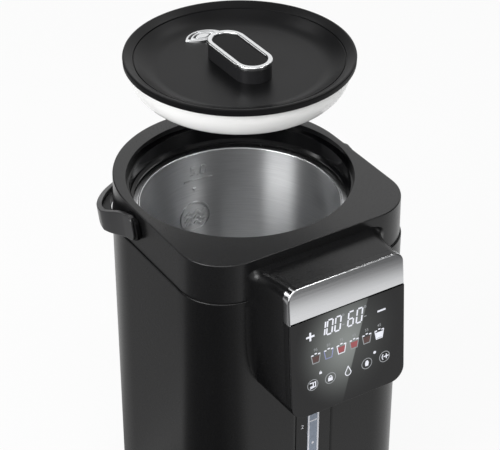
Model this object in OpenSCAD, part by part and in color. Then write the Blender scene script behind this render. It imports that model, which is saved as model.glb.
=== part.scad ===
// Electric thermo pot of about five litres, with its lid lifted clear of the mouth.
// All lengths are in millimetres and +Z is up, with the feet standing on z = 0.
// Each piece is drawn about the liner's axis, and on_axis() then moves it to the shared origin.

/* [Body] */
// Height of the collar's top face above the table
collar_top = 340; // [330:2:380]
// Width of the outer shell
body_w = 207.4; // [204:0.2:230]
// From the liner's axis to the shell's flat front face
body_front = 116.6; // [115:0.2:130]
// From the liner's axis back to the centre of the shell's round back
back_offset = 9.6; // [6:0.2:14]
// Radius of the shell's two front corners
corner_r = 41.7; // [34:0.1:46]
// Wall of the outer shell
shell_wall = 2.4; // [2:0.1:3]
// Height of the visible foot of the base pan, without its feet
pan_skirt_h = 11; // [8:1:16]
// Thickness of the base pan's floor
pan_floor_t = 4; // [3.5:0.1:5]
// Height of the upstand that holds the shell on the pan
pan_lip_h = 12; // [8:1:14]
// Radius of a rubber foot
foot_r = 9; // [7:0.5:12]
// Height of a rubber foot
foot_h = 3; // [2:0.5:5]

/* [Collar] */
// Height of the collar above its seam with the shell
collar_h = 35.5; // [33:0.5:42]
// Step from the shell's side in to the collar's side
collar_inset = 1.3; // [0.8:0.1:2]
// Wall of the collar
collar_wall = 2.4; // [2:0.1:3]
// Radius of the round mouth in the collar's top face
mouth_r = 95.5; // [95.2:0.1:96.5]
// Depth of the ledge that the lid's rim comes down to
ledge_depth = 6.5; // [6:0.5:9]
// Radius of the throat below the ledge
throat_r = 92.3; // [91.8:0.1:93]
// Depth of the throat's lower edge below the top face
throat_depth = 24.9; // [23:0.1:27]

/* [Liner] */
// Inner radius of the stainless liner
liner_r = 84.2; // [80:0.2:84.4]
// Sheet thickness of the liner
liner_wall = 0.8; // [0.6:0.1:1.2]
// Height of the liner's floor above the table
liner_floor = 58; // [58:1:62]
// Radius between the liner's wall and floor
liner_corner = 10; // [6:1:14]
// Width of the flange that the collar clamps
flange_w = 9.5; // [9:0.1:10]
// Thickness of the gasket between the throat and the flange
gasket_t = 1.2; // [0.8:0.1:1.6]
// Thickness of the felt jacket round the liner
jacket_t = 7; // [4:0.5:8]

/* [Lid] */
// Height that the lid is held above its seat
lid_hover = 114; // [60:1:130]
// Outer radius of the lid's black rim
lid_rim_r = 94; // [93.4:0.1:94.6]
// Height of the rim's side
lid_rim_h = 6.2; // [4:0.1:6.4]
// Radius of the seam round the dished middle
dish_r = 85.4; // [80:0.2:88]
// Depth of the dish below the rim
dish_depth = 12; // [8:0.5:14]
// Radius of the flat floor of the dish
dish_floor_r = 68.2; // [68.2:0.2:70]
// Thickness of the lid's top plate
lid_plate_t = 2.4; // [2:0.1:3]
// Radius of the white underside where it meets the rim
lid_base_r = 90.7; // [89:0.1:91]
// Radius of the underside's flat bottom
lid_bottom_r = 72.3; // [66:0.1:76]
// Height of the white underside
lid_base_h = 25.6; // [24:0.2:26]
// Length of the lid's knob
knob_l = 71.4; // [60:0.2:80]
// Width of the lid's knob
knob_w = 32.6; // [26:0.2:40]
// Height of the bright ring's top above the rim
knob_rise = 3.3; // [2:0.1:8]
// Width of the bright ring on the knob
ring_w = 4.4; // [3:0.1:6]
// Height of the bright ring
ring_h = 4.1; // [3:0.1:6]
// Half of the steam vent's length
vent_half_l = 16.5; // [12:0.5:18]
// Half of the steam vent's width
vent_half_w = 9; // [7:0.5:9.5]

/* [Handle] */
// Depth of the handle's pivot below the collar's top face
pivot_drop = 16; // [15:0.5:17]
// Angle of the stored handle below the horizontal
handle_tilt = 17; // [12:1:20]
// From the pivot to the centre of the handle's round back
handle_reach = 12; // [11:0.5:20]
// Outer radius of the handle's round back
grip_r = 116; // [114:0.5:124]
// Thickness of the handle's strap
strap_t = 4.6; // [4:0.1:5]
// Height of the strap at its ends
strap_end_h = 21; // [18:0.5:22]
// Height of the strap at the grip
strap_grip_h = 12; // [10:0.5:16]
// Distance from the middle plane to the handle's outer end faces
handle_half_w = 108.2; // [108:0.1:113]
// Radius of the hub that each handle end turns on
hub_r = 12; // [11:0.5:13]
// Radius of the handle's pivot pins
pin_r = 4; // [3:0.1:5]
// Radial running clearance of the moving fits
running_gap = 0.05; // [0.02:0.01:0.1]

/* [Control housing] */
// Width of the control panel
panel_w = 109; // [104:0.5:114]
// Height of the control panel, measured along its lean
panel_h = 121; // [118:0.5:130]
// From the liner's axis to the foot of the panel
panel_reach = 166.8; // [160:0.2:175]
// Depth of the panel's foot below the collar's top face
panel_drop = 127.5; // [125:0.5:134]
// Lean of the panel back from the vertical
panel_lean = 4.1; // [2:0.1:7]
// Radius of the panel's lower corners
panel_low_r = 13; // [9:0.5:16]
// Radius of the panel's upper corners
panel_top_r = 10; // [6:0.5:12]
// Height of the metal band across the top of the panel
band_h = 30.5; // [24:0.5:34]
// Depth that the band wraps back over the housing
band_return = 8.4; // [6:0.2:10]
// Thickness of the glass panel
glass_t = 2; // [1.5:0.1:2.5]
// Wall of the control housing
housing_wall = 2.5; // [2:0.1:3]
// Width of the housing where it meets the shell
housing_root_w = 114; // [112:0.5:118]

/* [Level gauge] */
// Width of the gauge's cover strip
gauge_w = 34.6; // [28:0.2:36]
// Height of the strip's lower end above the table
gauge_foot = 46; // [42:1:70]
// Width of the gauge's window
window_w = 11.4; // [10:0.2:14]
// Outer radius of the glass riser tube
tube_r = 4.2; // [3.6:0.1:4.4]
// From the liner's axis forward to the riser tube
tube_y = 107.5; // [107:0.1:108]

/* [Pump and valve] */
// Radius of the pump's body
pump_r = 16.5; // [16:0.5:18]
// Radius of the pump motor
motor_r = 13.5; // [12:0.5:15]
// Height of the pump motor
motor_h = 18; // [16:0.5:18]
// Radius of the impeller
impeller_r = 11; // [9:0.5:12]
// Number of impeller blades
blade_count = 6; // [4:1:8]
// Radius of the tip-over valve's ball
ball_r = 4.8; // [4.6:0.1:5]
// Radius of the spout nozzle
nozzle_r = 7; // [6:0.2:9]
// From the liner's axis forward to the spout
spout_y = 137; // [133:0.5:143]
// Length of the nozzle below the housing's floor
nozzle_l = 13; // [8:0.5:20]

/* [Hidden] */
$fn = 96;

// Colours
black_plastic = [0.13, 0.13, 0.14];
grey_black = [0.2, 0.2, 0.21];
gloss_black = [0.05, 0.05, 0.06];
white_plastic = [0.9, 0.9, 0.89];
steel = [0.74, 0.74, 0.75];
bright_metal = [0.86, 0.87, 0.88];
silicone = [0.82, 0.83, 0.84];
board_green = [0.1, 0.35, 0.2];
copper = [0.72, 0.45, 0.25];
rubber_black = [0.09, 0.09, 0.09];

// Small common sizes
cut = 1;
touch_gap = 0.3;
slip = 0.05;
screw_r = 1.6;
screw_head_r = 3.2;
screw_head_h = 2;
thread_fit = 0.05;
bead_ratio = 1.25;
cable_half = 1.8;

// Body heights
shell_foot = foot_h + pan_skirt_h;
seam_z = collar_top - collar_h;
floor_top = foot_h + pan_floor_t;
pan_inset = 0.9;
pan_wall = 2.2;
lip_inset = shell_wall + touch_gap;
half_w = body_w / 2;
collar_half_w = half_w - collar_inset;

// Liner and its clamp
throat_foot = collar_top - throat_depth;
flange_top = throat_foot - gasket_t;
flange_under = flange_top - liner_wall;
liner_out_r = liner_r + liner_wall;
flange_r = liner_out_r + flange_w;
liner_underside = liner_floor - 1.2;
bead_r = 1.1;
clamp_t = 2.2;
clamp_screw_at = flange_r + 3.5;
clamp_boss_r = 4;
clamp_boss_h = 15;
clamp_screw_l = 12;

// Support, heater and drain
support_r = 69.5;
support_w = 7;
support_t = 3.8;
leg_r = 6;
leg_at = support_r * cos(45);
heater_r = 46;
heater_t = 3.5;
element_r = 36;
element_tube_r = 3;
element_gap = 60;
terminal_r = 1.8;
terminal_angle = element_gap / 2 + 6;
lead_r = 1.3;
heater_under = liner_underside - heater_t;
element_z = heater_under - element_tube_r - 0.1;
terminal_l = 8;
drain_x = 34;
drain_y = -44;
drain_bore = 5.05;
drain_r = 6.5;
stub_r = 4.2;
stub_bore = 2.8;
hose_r = 5.6;
hose_bore = stub_r + slip;

// Pump, standing on the pan's floor
pump_x = -10.5;
pump_y = -68;
pump_foot = floor_top + motor_h + 0.5;
shaft_r = 1.5;
magnet_r = 9.5;
magnet_h = 4;
cup_h = 5;
web_t = 1.2;
chamber_r = 13.5;
chamber_h = 7.6;
cover_t = 1.6;
chamber_z = pump_foot + cup_h + web_t;
cover_z = chamber_z + chamber_h;
eye_z = cover_z + cover_t + hose_r + 0.4;
outlet_z = chamber_z + 3.2;
impeller_h = 5.6;
drain_angle = atan2(drain_y - pump_y, drain_x - pump_x);
drain_gap = norm([drain_x - pump_x, drain_y - pump_y]);

// Riser, valve and spout
bend_r = 10;
tube_foot = outlet_z + bend_r + 4;
valve_r = 8.5;
valve_foot = panel_foot_z() + 23.5;
tube_top = valve_foot + 4;
seat_z = valve_foot + 10;
seat_r = 3;
ball_room = 4;
ball_z = seat_z + sqrt(ball_r * ball_r - seat_r * seat_r) + touch_gap;
chamber_top = ball_z + ball_r + ball_room + touch_gap;
ball_chamber_r = ball_r + 0.7;
spout_z = chamber_top + 4;
valve_top = spout_z + 6;

// Control housing
function panel_foot_z() = collar_top - panel_drop;
panel_half = panel_w / 2;
band_low = panel_h - band_h;
back_low_z = panel_foot_z() + 1.5;
back_top_z = collar_top - 9;
housing_floor_z = back_low_z;
nozzle_spigot = 14;
spout_run = 9;
spout_foot_gap = 6;
window_low_z = valve_foot - 8;
window_high_z = valve_top + 32;
window_half = 24;
housing_screw_x = housing_root_w / 2 - 6.5;
housing_screw_low = back_low_z + 11;
housing_screw_high = seam_z - 16;
housing_boss_r = 4.6;
housing_boss_l = 9;
housing_screw_l = 9;
band_t = 1.2;
board_t = 1.6;
board_n = -12;
board_side_gap = 5.5;
board_w = panel_w - 2 * board_side_gap;
board_low = 8;
board_top_gap = 6.5;
board_h = band_low - board_low - board_top_gap;
board_screw_x = board_w / 2 - 2.4;
board_screw_low = board_low + 4;
board_screw_high = board_low + board_h - 6;
board_screw_r = 1.4;
board_boss_r = 3;
frame_w = 6;
display_w = 60;
display_h = 15;
display_drop = 14;
display_v = band_low - display_drop;

// Gauge
gauge_top = back_low_z - touch_gap;
gauge_t = shell_wall + touch_gap;
gauge_slot_gap = 0.2;
window_foot = gauge_foot + 12;
window_top = gauge_top - 8;

// Power parts on the rear of the pan's floor
power_board_z = floor_top + 7;
power_board_w = 80;
power_board_l = 60;
power_board_y = 25;
standoff_x = 35;
standoff_r = 3;
inlet_w = 28;
inlet_h = 22;
inlet_z = 44;
inlet_depth = 20;
inlet_proud = 1;
body_back = back_offset + half_w;

// Handle
pivot_z = collar_top - pivot_drop;
hub_face = handle_half_w - strap_t - touch_gap;
pin_inner = collar_half_w - collar_wall - 3.4;
arm_end = -hub_r - 0.5;
arm_straight_to = 8;
arm_bend_y = 22;
arm_bend_share = 0.7;
arm_join_y = 35;
taper_from = 14;
taper_to = 70;
strap_round = 6;
handle_span = grip_r + strap_t;
clip_t = 1;
clip_r = 6.4;
grip_reach = handle_reach + grip_r;
grip_back = grip_reach * cos(handle_tilt) + strap_grip_h / 2 * sin(handle_tilt);

// The origin lies midway between the panel's foot and the stored grip
axis_y = (panel_reach - grip_back) / 2;

// Lid, drawn seated and then lifted
seal_in_r = lid_base_r + 0.4;
seal_out_r = lid_rim_r - 1.8;
seal_groove = 1.2;
knob_foot = collar_top - dish_depth;
ring_z = collar_top + knob_rise - ring_h;
inlay_drop = 1.5;
inlay_t = 2;
lid_screw_at = 56;
vent_y = 58.5;
lid_wall = 2.2;
foam_r = 50;
foam_cut_y = vent_y - 22.5;
lid_screw_l = 15.5;
knob_screw_l = 9;
lid_bottom_z = collar_top - lid_rim_h - lid_base_h;
vent_t = 1.3;

module on_axis() {
    translate([0, axis_y, 0]) children();
}

module lifted() {
    on_axis() translate([0, 0, lid_hover]) children();
}

// Outline of the body seen from above, moved in by a distance
module body_outline(inset) {
    straight = half_w - corner_r;
    translate([0, back_offset]) circle(r = half_w - inset, $fn = 160);
    for (side = [-1, 1]) {
        translate([side * straight, corner_r - body_front]) circle(r = corner_r - inset);
    }
    translate([-half_w + inset, corner_r - body_front]) {
        square([body_w - 2 * inset, body_front - corner_r + back_offset]);
    }
    translate([-straight, inset - body_front]) square([2 * straight, corner_r + back_offset]);
}

module body_slab(inset, low, high) {
    translate([0, 0, low]) linear_extrude(high - low) body_outline(inset);
}

// A round tube between two heights
module pipe(outer, bore, low, high) {
    translate([0, 0, low]) difference() {
        cylinder(r = outer, h = high - low);
        translate([0, 0, -cut]) cylinder(r = bore, h = high - low + 2 * cut);
    }
}

// A screw along +Z with its shank up and its head below z = 0
module screw(shank, head, head_h, length) {
    cylinder(r = shank, h = length);
    translate([0, 0, -head_h]) cylinder(r = head, h = head_h);
}

// A wire through a list of points, with a small bead at each bend
module wire(points, r) {
    for (i = [0 : len(points) - 2]) {
        span = points[i + 1] - points[i];
        translate(points[i]) {
            rotate([0, acos(span[2] / norm(span)), atan2(span[1], span[0])]) {
                cylinder(r = r, h = norm(span), $fn = 24);
            }
        }
    }
    for (i = [1 : len(points) - 2]) {
        translate(points[i]) sphere(r = r * bead_ratio, $fn = 24);
    }
}

// ---- Body ----

module gauge_slot(gap, low, high) {
    translate([-gauge_w / 2 - gap, -body_front - cut, low]) {
        cube([gauge_w + 2 * gap, shell_wall + 2 * cut, high - low]);
    }
}

module outer_shell() color(black_plastic) on_axis() difference() {
    body_slab(0, shell_foot, seam_z);
    body_slab(shell_wall, shell_foot - cut, seam_z + cut);
    gauge_slot(gauge_slot_gap, gauge_foot - gauge_slot_gap, gauge_top + gauge_slot_gap);
    translate([-window_half, -body_front - cut, window_low_z]) {
        cube([2 * window_half, shell_wall + 2 * cut, window_high_z - window_low_z]);
    }
    for (x = [-housing_screw_x, housing_screw_x], z = [housing_screw_low, housing_screw_high]) {
        translate([x, -body_front - cut, z]) rotate([-90, 0, 0]) {
            cylinder(r = screw_r + 0.15, h = shell_wall + 2 * cut);
        }
    }
    translate([-inlet_w / 2 - slip, body_back - 8, inlet_z - inlet_h / 2 - slip]) {
        cube([inlet_w + 2 * slip, 10, inlet_h + 2 * slip]);
    }
}

module base_pan() color(grey_black) on_axis() difference() {
    union() {
        difference() {
            union() {
                body_slab(pan_inset, foot_h, shell_foot);
                body_slab(lip_inset, shell_foot - cut, shell_foot + pan_lip_h);
            }
            body_slab(lip_inset + pan_wall, floor_top, shell_foot + pan_lip_h + cut);
        }
        for (x = [-standoff_x, standoff_x], y = [5, power_board_l - 5]) {
            translate([x, power_board_y + y, floor_top - cut]) {
                cylinder(r = standoff_r, h = power_board_z - floor_top + cut);
            }
        }
    }
    for (x = [-leg_at, leg_at], y = [-leg_at, leg_at]) {
        translate([x, y, 0]) cylinder(r = screw_r + 0.4, h = floor_top + cut);
        translate([x, y, 0]) cylinder(r = screw_head_r + 0.4, h = foot_h + screw_head_h + 0.2);
    }
    for (x = [-standoff_x, standoff_x], y = [5, power_board_l - 5]) {
        translate([x, power_board_y + y, floor_top]) {
            cylinder(r = board_screw_r + thread_fit, h = power_board_z);
        }
    }
}

module feet() color(rubber_black) on_axis() {
    for (side = [-1, 1]) {
        translate([side * (half_w - corner_r + 4), corner_r - body_front - 6, 0]) {
            cylinder(r = foot_r, h = foot_h);
        }
        translate([side * half_w * 0.6, half_w * 0.6, 0]) cylinder(r = foot_r, h = foot_h);
    }
}

module base_screws() color(steel) on_axis() {
    for (x = [-leg_at, leg_at], y = [-leg_at, leg_at]) {
        translate([x, y, foot_h + screw_head_h + 0.2]) {
            screw(screw_r, screw_head_r, screw_head_h, 16);
        }
    }
}

module top_collar() color(grey_black) on_axis() difference() {
    union() {
        difference() {
            body_slab(collar_inset, seam_z, collar_top);
            body_slab(collar_inset + collar_wall, seam_z - cut, collar_top - 2.6);
        }
        body_slab_ring(lip_inset, 2, seam_z - 8, seam_z + 4);
        pipe(mouth_r + collar_wall, mouth_r - 5, collar_top - ledge_depth - collar_wall,
            collar_top);
        pipe(throat_r + collar_wall, throat_r, throat_foot, collar_top - ledge_depth);
        for (a = [30 : 60 : 330]) {
            rotate(a) translate([clamp_screw_at, 0, flange_under]) {
                cylinder(r = clamp_boss_r, h = clamp_boss_h, $fn = 32);
            }
        }
    }
    translate([0, 0, collar_top - ledge_depth]) cylinder(r = mouth_r, h = ledge_depth + cut);
    translate([0, 0, seam_z - 10]) cylinder(r = throat_r, h = collar_h + 10);
    translate([0, 0, seam_z]) cylinder(r = flange_r + 0.2, h = throat_foot - seam_z);
    for (a = [30 : 60 : 330]) {
        rotate(a) translate([clamp_screw_at, 0, flange_under]) {
            cylinder(r = screw_r + thread_fit, h = clamp_screw_l, $fn = 32);
        }
    }
    for (side = [-1, 1]) {
        translate([side * (collar_half_w + cut), 0, pivot_z]) rotate([0, -side * 90, 0]) {
            cylinder(r = pin_r + 0.4, h = collar_wall + 4);
        }
    }
}

// The tongue that drops inside the shell's upper edge
module body_slab_ring(inset, wall, low, high) {
    difference() {
        body_slab(inset, low, high);
        body_slab(inset + wall, low - cut, high + cut);
    }
}

module collar_gasket() color(rubber_black) on_axis() {
    pipe(throat_r + collar_wall - 0.2, throat_r + 0.2, flange_top, throat_foot);
}

module clamp_ring() color(steel) on_axis() difference() {
    union() {
        pipe(flange_r + 1, liner_r + 2 * bead_r + 0.5, flange_under - clamp_t, flange_under);
        for (a = [30 : 60 : 330]) {
            rotate(a) translate([clamp_screw_at, 0, flange_under - clamp_t]) {
                cylinder(r = 4, h = clamp_t, $fn = 32);
            }
        }
    }
    for (a = [30 : 60 : 330]) {
        rotate(a) translate([clamp_screw_at, 0, 0]) {
            cylinder(r = screw_r + 0.3, h = collar_top, $fn = 32);
        }
    }
}

module clamp_screws() color(steel) on_axis() {
    for (a = [30 : 60 : 330]) {
        rotate(a) translate([clamp_screw_at, 0, flange_under - clamp_t]) {
            screw(screw_r, screw_head_r, screw_head_h, clamp_screw_l);
        }
    }
}

// ---- Liner and heater ----

// Half section of a pot of the given radius, open at the top
module pot_section(r, floor_z, corner, top) {
    square_h = top - floor_z - corner;
    translate([0, floor_z + corner]) square([r, square_h]);
    translate([0, floor_z]) square([r - corner, corner]);
    intersection() {
        translate([r - corner, floor_z + corner]) circle(r = corner, $fn = 64);
        translate([r - corner, floor_z]) square([corner, corner]);
    }
}

module inner_liner() color(steel) on_axis() difference() {
    rotate_extrude($fn = 160) {
        difference() {
            pot_section(liner_out_r, liner_underside, liner_corner, flange_top - 0.2);
            pot_section(liner_r, liner_floor, liner_corner - 0.5, flange_top + cut);
        }
        translate([liner_out_r - 0.2, flange_under]) {
            square([flange_r - liner_out_r + 0.2, liner_wall]);
        }
        translate([liner_r + bead_r, flange_top - bead_r + 0.2]) circle(r = bead_r, $fn = 32);
    }
    translate([drain_x, drain_y, 0]) cylinder(r = drain_bore, h = liner_floor + 5);
}

module felt_jacket() color("gray") on_axis() {
    pipe(liner_out_r + touch_gap + jacket_t, liner_out_r + touch_gap, liner_floor + 12,
        flange_under - clamp_t - 10);
}

module liner_support() color(white_plastic) on_axis() difference() {
    union() {
        pipe(support_r + support_w / 2, support_r - support_w / 2,
            liner_underside - support_t, liner_underside);
        for (x = [-leg_at, leg_at], y = [-leg_at, leg_at]) {
            translate([x, y, floor_top]) {
                cylinder(r = leg_r, h = liner_underside - floor_top);
            }
        }
    }
    for (x = [-leg_at, leg_at], y = [-leg_at, leg_at]) {
        translate([x, y, floor_top - cut]) cylinder(r = screw_r + thread_fit, h = 18);
    }
}

module heater_plate() color("silver") on_axis() {
    translate([0, 0, heater_under]) cylinder(r = heater_r, h = heater_t);
}

module heater_element() color("dimgray") on_axis() {
    translate([0, 0, element_z]) rotate(90 + element_gap / 2) {
        rotate_extrude(angle = 360 - element_gap) {
            translate([element_r, 0]) circle(r = element_tube_r, $fn = 32);
        }
    }
    for (a = [90 - terminal_angle, 90 + terminal_angle]) {
        rotate(a) translate([element_r, 0, element_z - terminal_l]) {
            cylinder(r = terminal_r, h = terminal_l);
        }
    }
}

module heater_leads() color("white") on_axis() {
    for (a = [90 - terminal_angle, 90 + terminal_angle]) {
        rotate(a) translate([element_r, 0, power_board_z + board_t]) {
            cylinder(r = lead_r, h = element_z - terminal_l - power_board_z - board_t, $fn = 24);
        }
    }
}

module thermal_cutouts() color("ivory") on_axis() {
    for (x = [-11, 11]) {
        translate([x, -4, heater_under - 9]) cylinder(r = 8, h = 9);
    }
}

module temperature_sensor() color(copper) on_axis() {
    translate([0, 15, heater_under - 7]) cylinder(r = 4, h = 7);
}

// ---- Water path ----

module outlet_elbow() color(steel) on_axis() {
    translate([drain_x, drain_y, 0]) difference() {
        union() {
            translate([0, 0, eye_z - 6.5]) {
                cylinder(r = drain_r, h = liner_underside - eye_z + 6.5);
            }
            translate([0, 0, liner_underside - cut]) {
                cylinder(r = drain_bore - slip, h = 3 + cut);
            }
            translate([0, 0, eye_z]) rotate([0, 90, drain_angle + 180]) {
                cylinder(r = stub_r, h = drain_r + 9);
            }
        }
        translate([0, 0, eye_z]) cylinder(r = 3.6, h = collar_top);
        translate([0, 0, eye_z]) rotate([0, 90, drain_angle + 180]) {
            cylinder(r = stub_bore, h = collar_top);
        }
    }
}

module strainer() color(bright_metal) on_axis() {
    translate([drain_x, drain_y, liner_floor]) difference() {
        cylinder(r = 9, h = 3.2);
        translate([0, 0, -cut]) cylinder(r = 7.6, h = 2.4 + cut);
        for (a = [0 : 60 : 300]) {
            rotate(a) translate([4.6, 0, 0]) cylinder(r = 1.4, h = 5, $fn = 24);
        }
        cylinder(r = 1.4, h = 5, $fn = 24);
    }
}

module inlet_hose() color(silicone) on_axis() {
    translate([pump_x, pump_y, eye_z]) rotate([0, 90, drain_angle]) {
        pipe(hose_r, hose_bore, 7, drain_gap - drain_r - 0.6);
    }
}

module pump_housing() color(white_plastic) on_axis() {
    translate([pump_x, pump_y, 0]) difference() {
        union() {
            translate([0, 0, pump_foot]) cylinder(r = pump_r, h = cover_z - pump_foot);
            translate([-pump_x, 0, outlet_z]) rotate([90, 0, 0]) {
                cylinder(r = stub_r, h = tube_y + pump_y - bend_r);
            }
        }
        translate([0, 0, pump_foot - cut]) cylinder(r = magnet_r + 1.5, h = cup_h + cut);
        translate([0, 0, chamber_z]) cylinder(r = chamber_r, h = chamber_h + cut);
        translate([-pump_x, 0, outlet_z]) rotate([90, 0, 0]) {
            cylinder(r = stub_bore, h = tube_y + pump_y);
        }
    }
    translate([pump_x, pump_y, chamber_z - web_t / 2]) cylinder(r = shaft_r, h = 6, $fn = 32);
}

module pump_cover() color(white_plastic) on_axis() {
    translate([pump_x, pump_y, 0]) difference() {
        union() {
            translate([0, 0, cover_z]) cylinder(r = pump_r, h = cover_t);
            translate([0, 0, cover_z]) cylinder(r = 6, h = eye_z + 5.2 - cover_z);
            translate([0, 0, eye_z]) rotate([0, 90, drain_angle]) cylinder(r = stub_r, h = 16);
        }
        translate([0, 0, cover_z - cut]) cylinder(r = 3.6, h = eye_z - cover_z + cut);
        translate([0, 0, eye_z]) rotate([0, 90, drain_angle]) {
            cylinder(r = stub_bore, h = 20);
        }
    }
}

module pump_motor() color(steel) on_axis() {
    translate([pump_x, pump_y, floor_top]) difference() {
        cylinder(r = motor_r, h = motor_h);
        translate([0, 0, motor_h - 9]) cylinder(r = shaft_r + running_gap, h = 10, $fn = 32);
    }
}

module motor_shaft() color(bright_metal) on_axis() {
    translate([pump_x, pump_y, floor_top + motor_h - 8.6]) {
        cylinder(r = shaft_r, h = 8.6 + 1 + magnet_h, $fn = 32);
    }
}

module drive_magnet() color("dimgray") on_axis() {
    translate([pump_x, pump_y, 0]) {
        pipe(magnet_r, shaft_r, floor_top + motor_h + 1, floor_top + motor_h + 1 + magnet_h);
    }
}

module impeller() color("silver") on_axis() {
    translate([pump_x, pump_y, chamber_z + 0.8]) difference() {
        union() {
            cylinder(r = impeller_r, h = 2);
            cylinder(r = 3.6, h = impeller_h);
            for (i = [0 : blade_count - 1]) {
                rotate(i * 360 / blade_count) translate([2.4, -0.6, 0]) {
                    cube([impeller_r - 2.9, 1.2, impeller_h - 0.6]);
                }
            }
        }
        translate([0, 0, -cut]) cylinder(r = shaft_r + running_gap, h = 10, $fn = 32);
    }
}

// A quarter bend in the x = 0 plane, from its lower mouth to its upper one
module quarter_bend(outer, bore) {
    rotate([0, 90, 0]) rotate_extrude(angle = 90) translate([bend_r, 0]) difference() {
        circle(r = outer, $fn = 48);
        circle(r = bore, $fn = 48);
    }
}

module delivery_hose() color(silicone) on_axis() {
    bend_y = bend_r - tube_y;
    translate([0, bend_y, outlet_z + bend_r]) mirror([0, 1, 0]) quarter_bend(hose_r, hose_bore);
    translate([0, bend_y, outlet_z]) rotate([-90, 0, 0]) pipe(hose_r, hose_bore, 0, 11);
    translate([0, -tube_y, 0]) pipe(hose_r, hose_bore, outlet_z + bend_r, tube_foot + 10);
}

module gauge_tube() color("lightblue") on_axis() {
    translate([0, -tube_y, 0]) pipe(tube_r, tube_r - 1.2, tube_foot, tube_top);
}

module gauge_panel() color(gloss_black) on_axis() difference() {
    translate([-gauge_w / 2, -body_front - touch_gap, gauge_foot]) {
        cube([gauge_w, gauge_t, gauge_top - gauge_foot]);
    }
    translate([-window_w / 2 - slip, -body_front - 5, window_foot - slip]) {
        cube([window_w + 2 * slip, 10, window_top - window_foot + 2 * slip]);
    }
}

module gauge_window() color("lightsteelblue") on_axis() {
    translate([-window_w / 2, -body_front - touch_gap - 0.2, window_foot]) {
        cube([window_w, 2.4, window_top - window_foot]);
    }
}

module valve_body() color(white_plastic) on_axis() {
    translate([0, -tube_y, 0]) difference() {
        union() {
            translate([0, 0, valve_foot]) cylinder(r = valve_r, h = valve_top - valve_foot);
            translate([0, 0, spout_z]) rotate([90, 0, 0]) {
                cylinder(r = stub_r, h = spout_y - tube_y - bend_r);
            }
        }
        translate([0, 0, valve_foot - cut]) cylinder(r = tube_r + slip, h = 6 + cut);
        translate([0, 0, valve_foot]) cylinder(r = seat_r, h = spout_z - valve_foot + 1);
        translate([0, 0, seat_z]) cylinder(r = ball_chamber_r, h = chamber_top - seat_z);
        translate([0, 0, spout_z]) rotate([90, 0, 0]) cylinder(r = stub_bore, h = spout_y);
    }
}

module valve_ball() color(bright_metal) on_axis() {
    translate([0, -tube_y, ball_z]) sphere(r = ball_r, $fn = 64);
}

module spout_pipe() color(silicone) on_axis() {
    bend_y = bend_r - spout_y;
    translate([0, bend_y, spout_z - bend_r]) mirror([0, 1, 0]) mirror([0, 0, 1]) {
        quarter_bend(hose_r, hose_bore);
    }
    translate([0, bend_y, spout_z]) rotate([-90, 0, 0]) pipe(hose_r, hose_bore, 0, spout_run);
    translate([0, -spout_y, 0]) {
        pipe(hose_r, hose_bore, housing_floor_z + spout_foot_gap, spout_z - bend_r);
    }
}

module spout_nozzle() color(black_plastic) on_axis() {
    translate([0, -spout_y, 0]) difference() {
        union() {
            translate([0, 0, housing_floor_z - nozzle_l]) {
                cylinder(r = nozzle_r, h = nozzle_l + housing_wall);
            }
            translate([0, 0, housing_floor_z + housing_wall]) {
                cylinder(r = nozzle_r + 3, h = 2);
            }
            translate([0, 0, housing_floor_z + housing_wall]) {
                cylinder(r = stub_r, h = nozzle_spigot);
            }
        }
        translate([0, 0, housing_floor_z - nozzle_l - cut]) {
            cylinder(r = stub_bore, h = nozzle_l + housing_wall + nozzle_spigot + 2 * cut);
        }
    }
}

// ---- Control housing ----

// Outline of the panel: x across, y up along its lean
module panel_outline(inset, low, high) {
    low_r = panel_low_r - inset;
    top_r = max(panel_top_r - inset, 1);
    half = panel_half - inset;
    intersection() {
        union() {
            for (side = [-1, 1]) {
                translate([side * (half - low_r), inset + low_r]) circle(r = low_r, $fn = 48);
                translate([side * (half - top_r), panel_h - inset - top_r]) {
                    circle(r = top_r, $fn = 48);
                }
            }
            translate([-half, inset + low_r]) {
                square([2 * half, panel_h - 2 * inset - low_r - top_r]);
            }
            translate([low_r - half, inset]) square([2 * (half - low_r), panel_h / 2]);
            translate([top_r - half, panel_h / 2]) {
                square([2 * (half - top_r), panel_h / 2 - inset]);
            }
        }
        translate([-panel_w, low]) square([2 * panel_w, high - low]);
    }
}

// Turns a flat outline into the leaning panel plane, whose front is at z = 0
module panel_frame() {
    translate([0, -panel_reach, panel_foot_z()]) rotate([90 - panel_lean, 0, 0]) children();
}

// The housing's tapered box between the shell and the back of the band
module housing_box(inset) {
    hull() {
        panel_frame() translate([0, 0, -band_return - 0.6]) linear_extrude(0.4) {
            panel_outline(inset + 0.15, -cut, panel_h + cut);
        }
        for (side = [-1, 1]) {
            translate([side * (housing_root_w / 2 - panel_low_r), 0, back_low_z + panel_low_r]) {
                rotate([-90, 0, 0]) translate([0, 0, -body_front]) {
                    cylinder(r = panel_low_r - inset, h = 2, $fn = 48);
                }
            }
            translate([side * (housing_root_w / 2 - panel_top_r), 0, back_top_z - panel_top_r]) {
                rotate([-90, 0, 0]) translate([0, 0, -body_front]) {
                    cylinder(r = panel_top_r - inset, h = 2, $fn = 48);
                }
            }
        }
    }
}

module housing_bosses() {
    for (x = [-housing_screw_x, housing_screw_x], z = [housing_screw_low, housing_screw_high]) {
        translate([x, -body_front, z]) rotate([90, 0, 0]) {
            cylinder(r = housing_boss_r, h = housing_boss_l, $fn = 32);
        }
    }
}

module board_bosses(r, back, front) {
    for (x = [-board_screw_x, board_screw_x], v = [board_screw_low, board_screw_high]) {
        panel_frame() translate([x, v, back]) cylinder(r = r, h = front - back, $fn = 32);
    }
}

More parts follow.
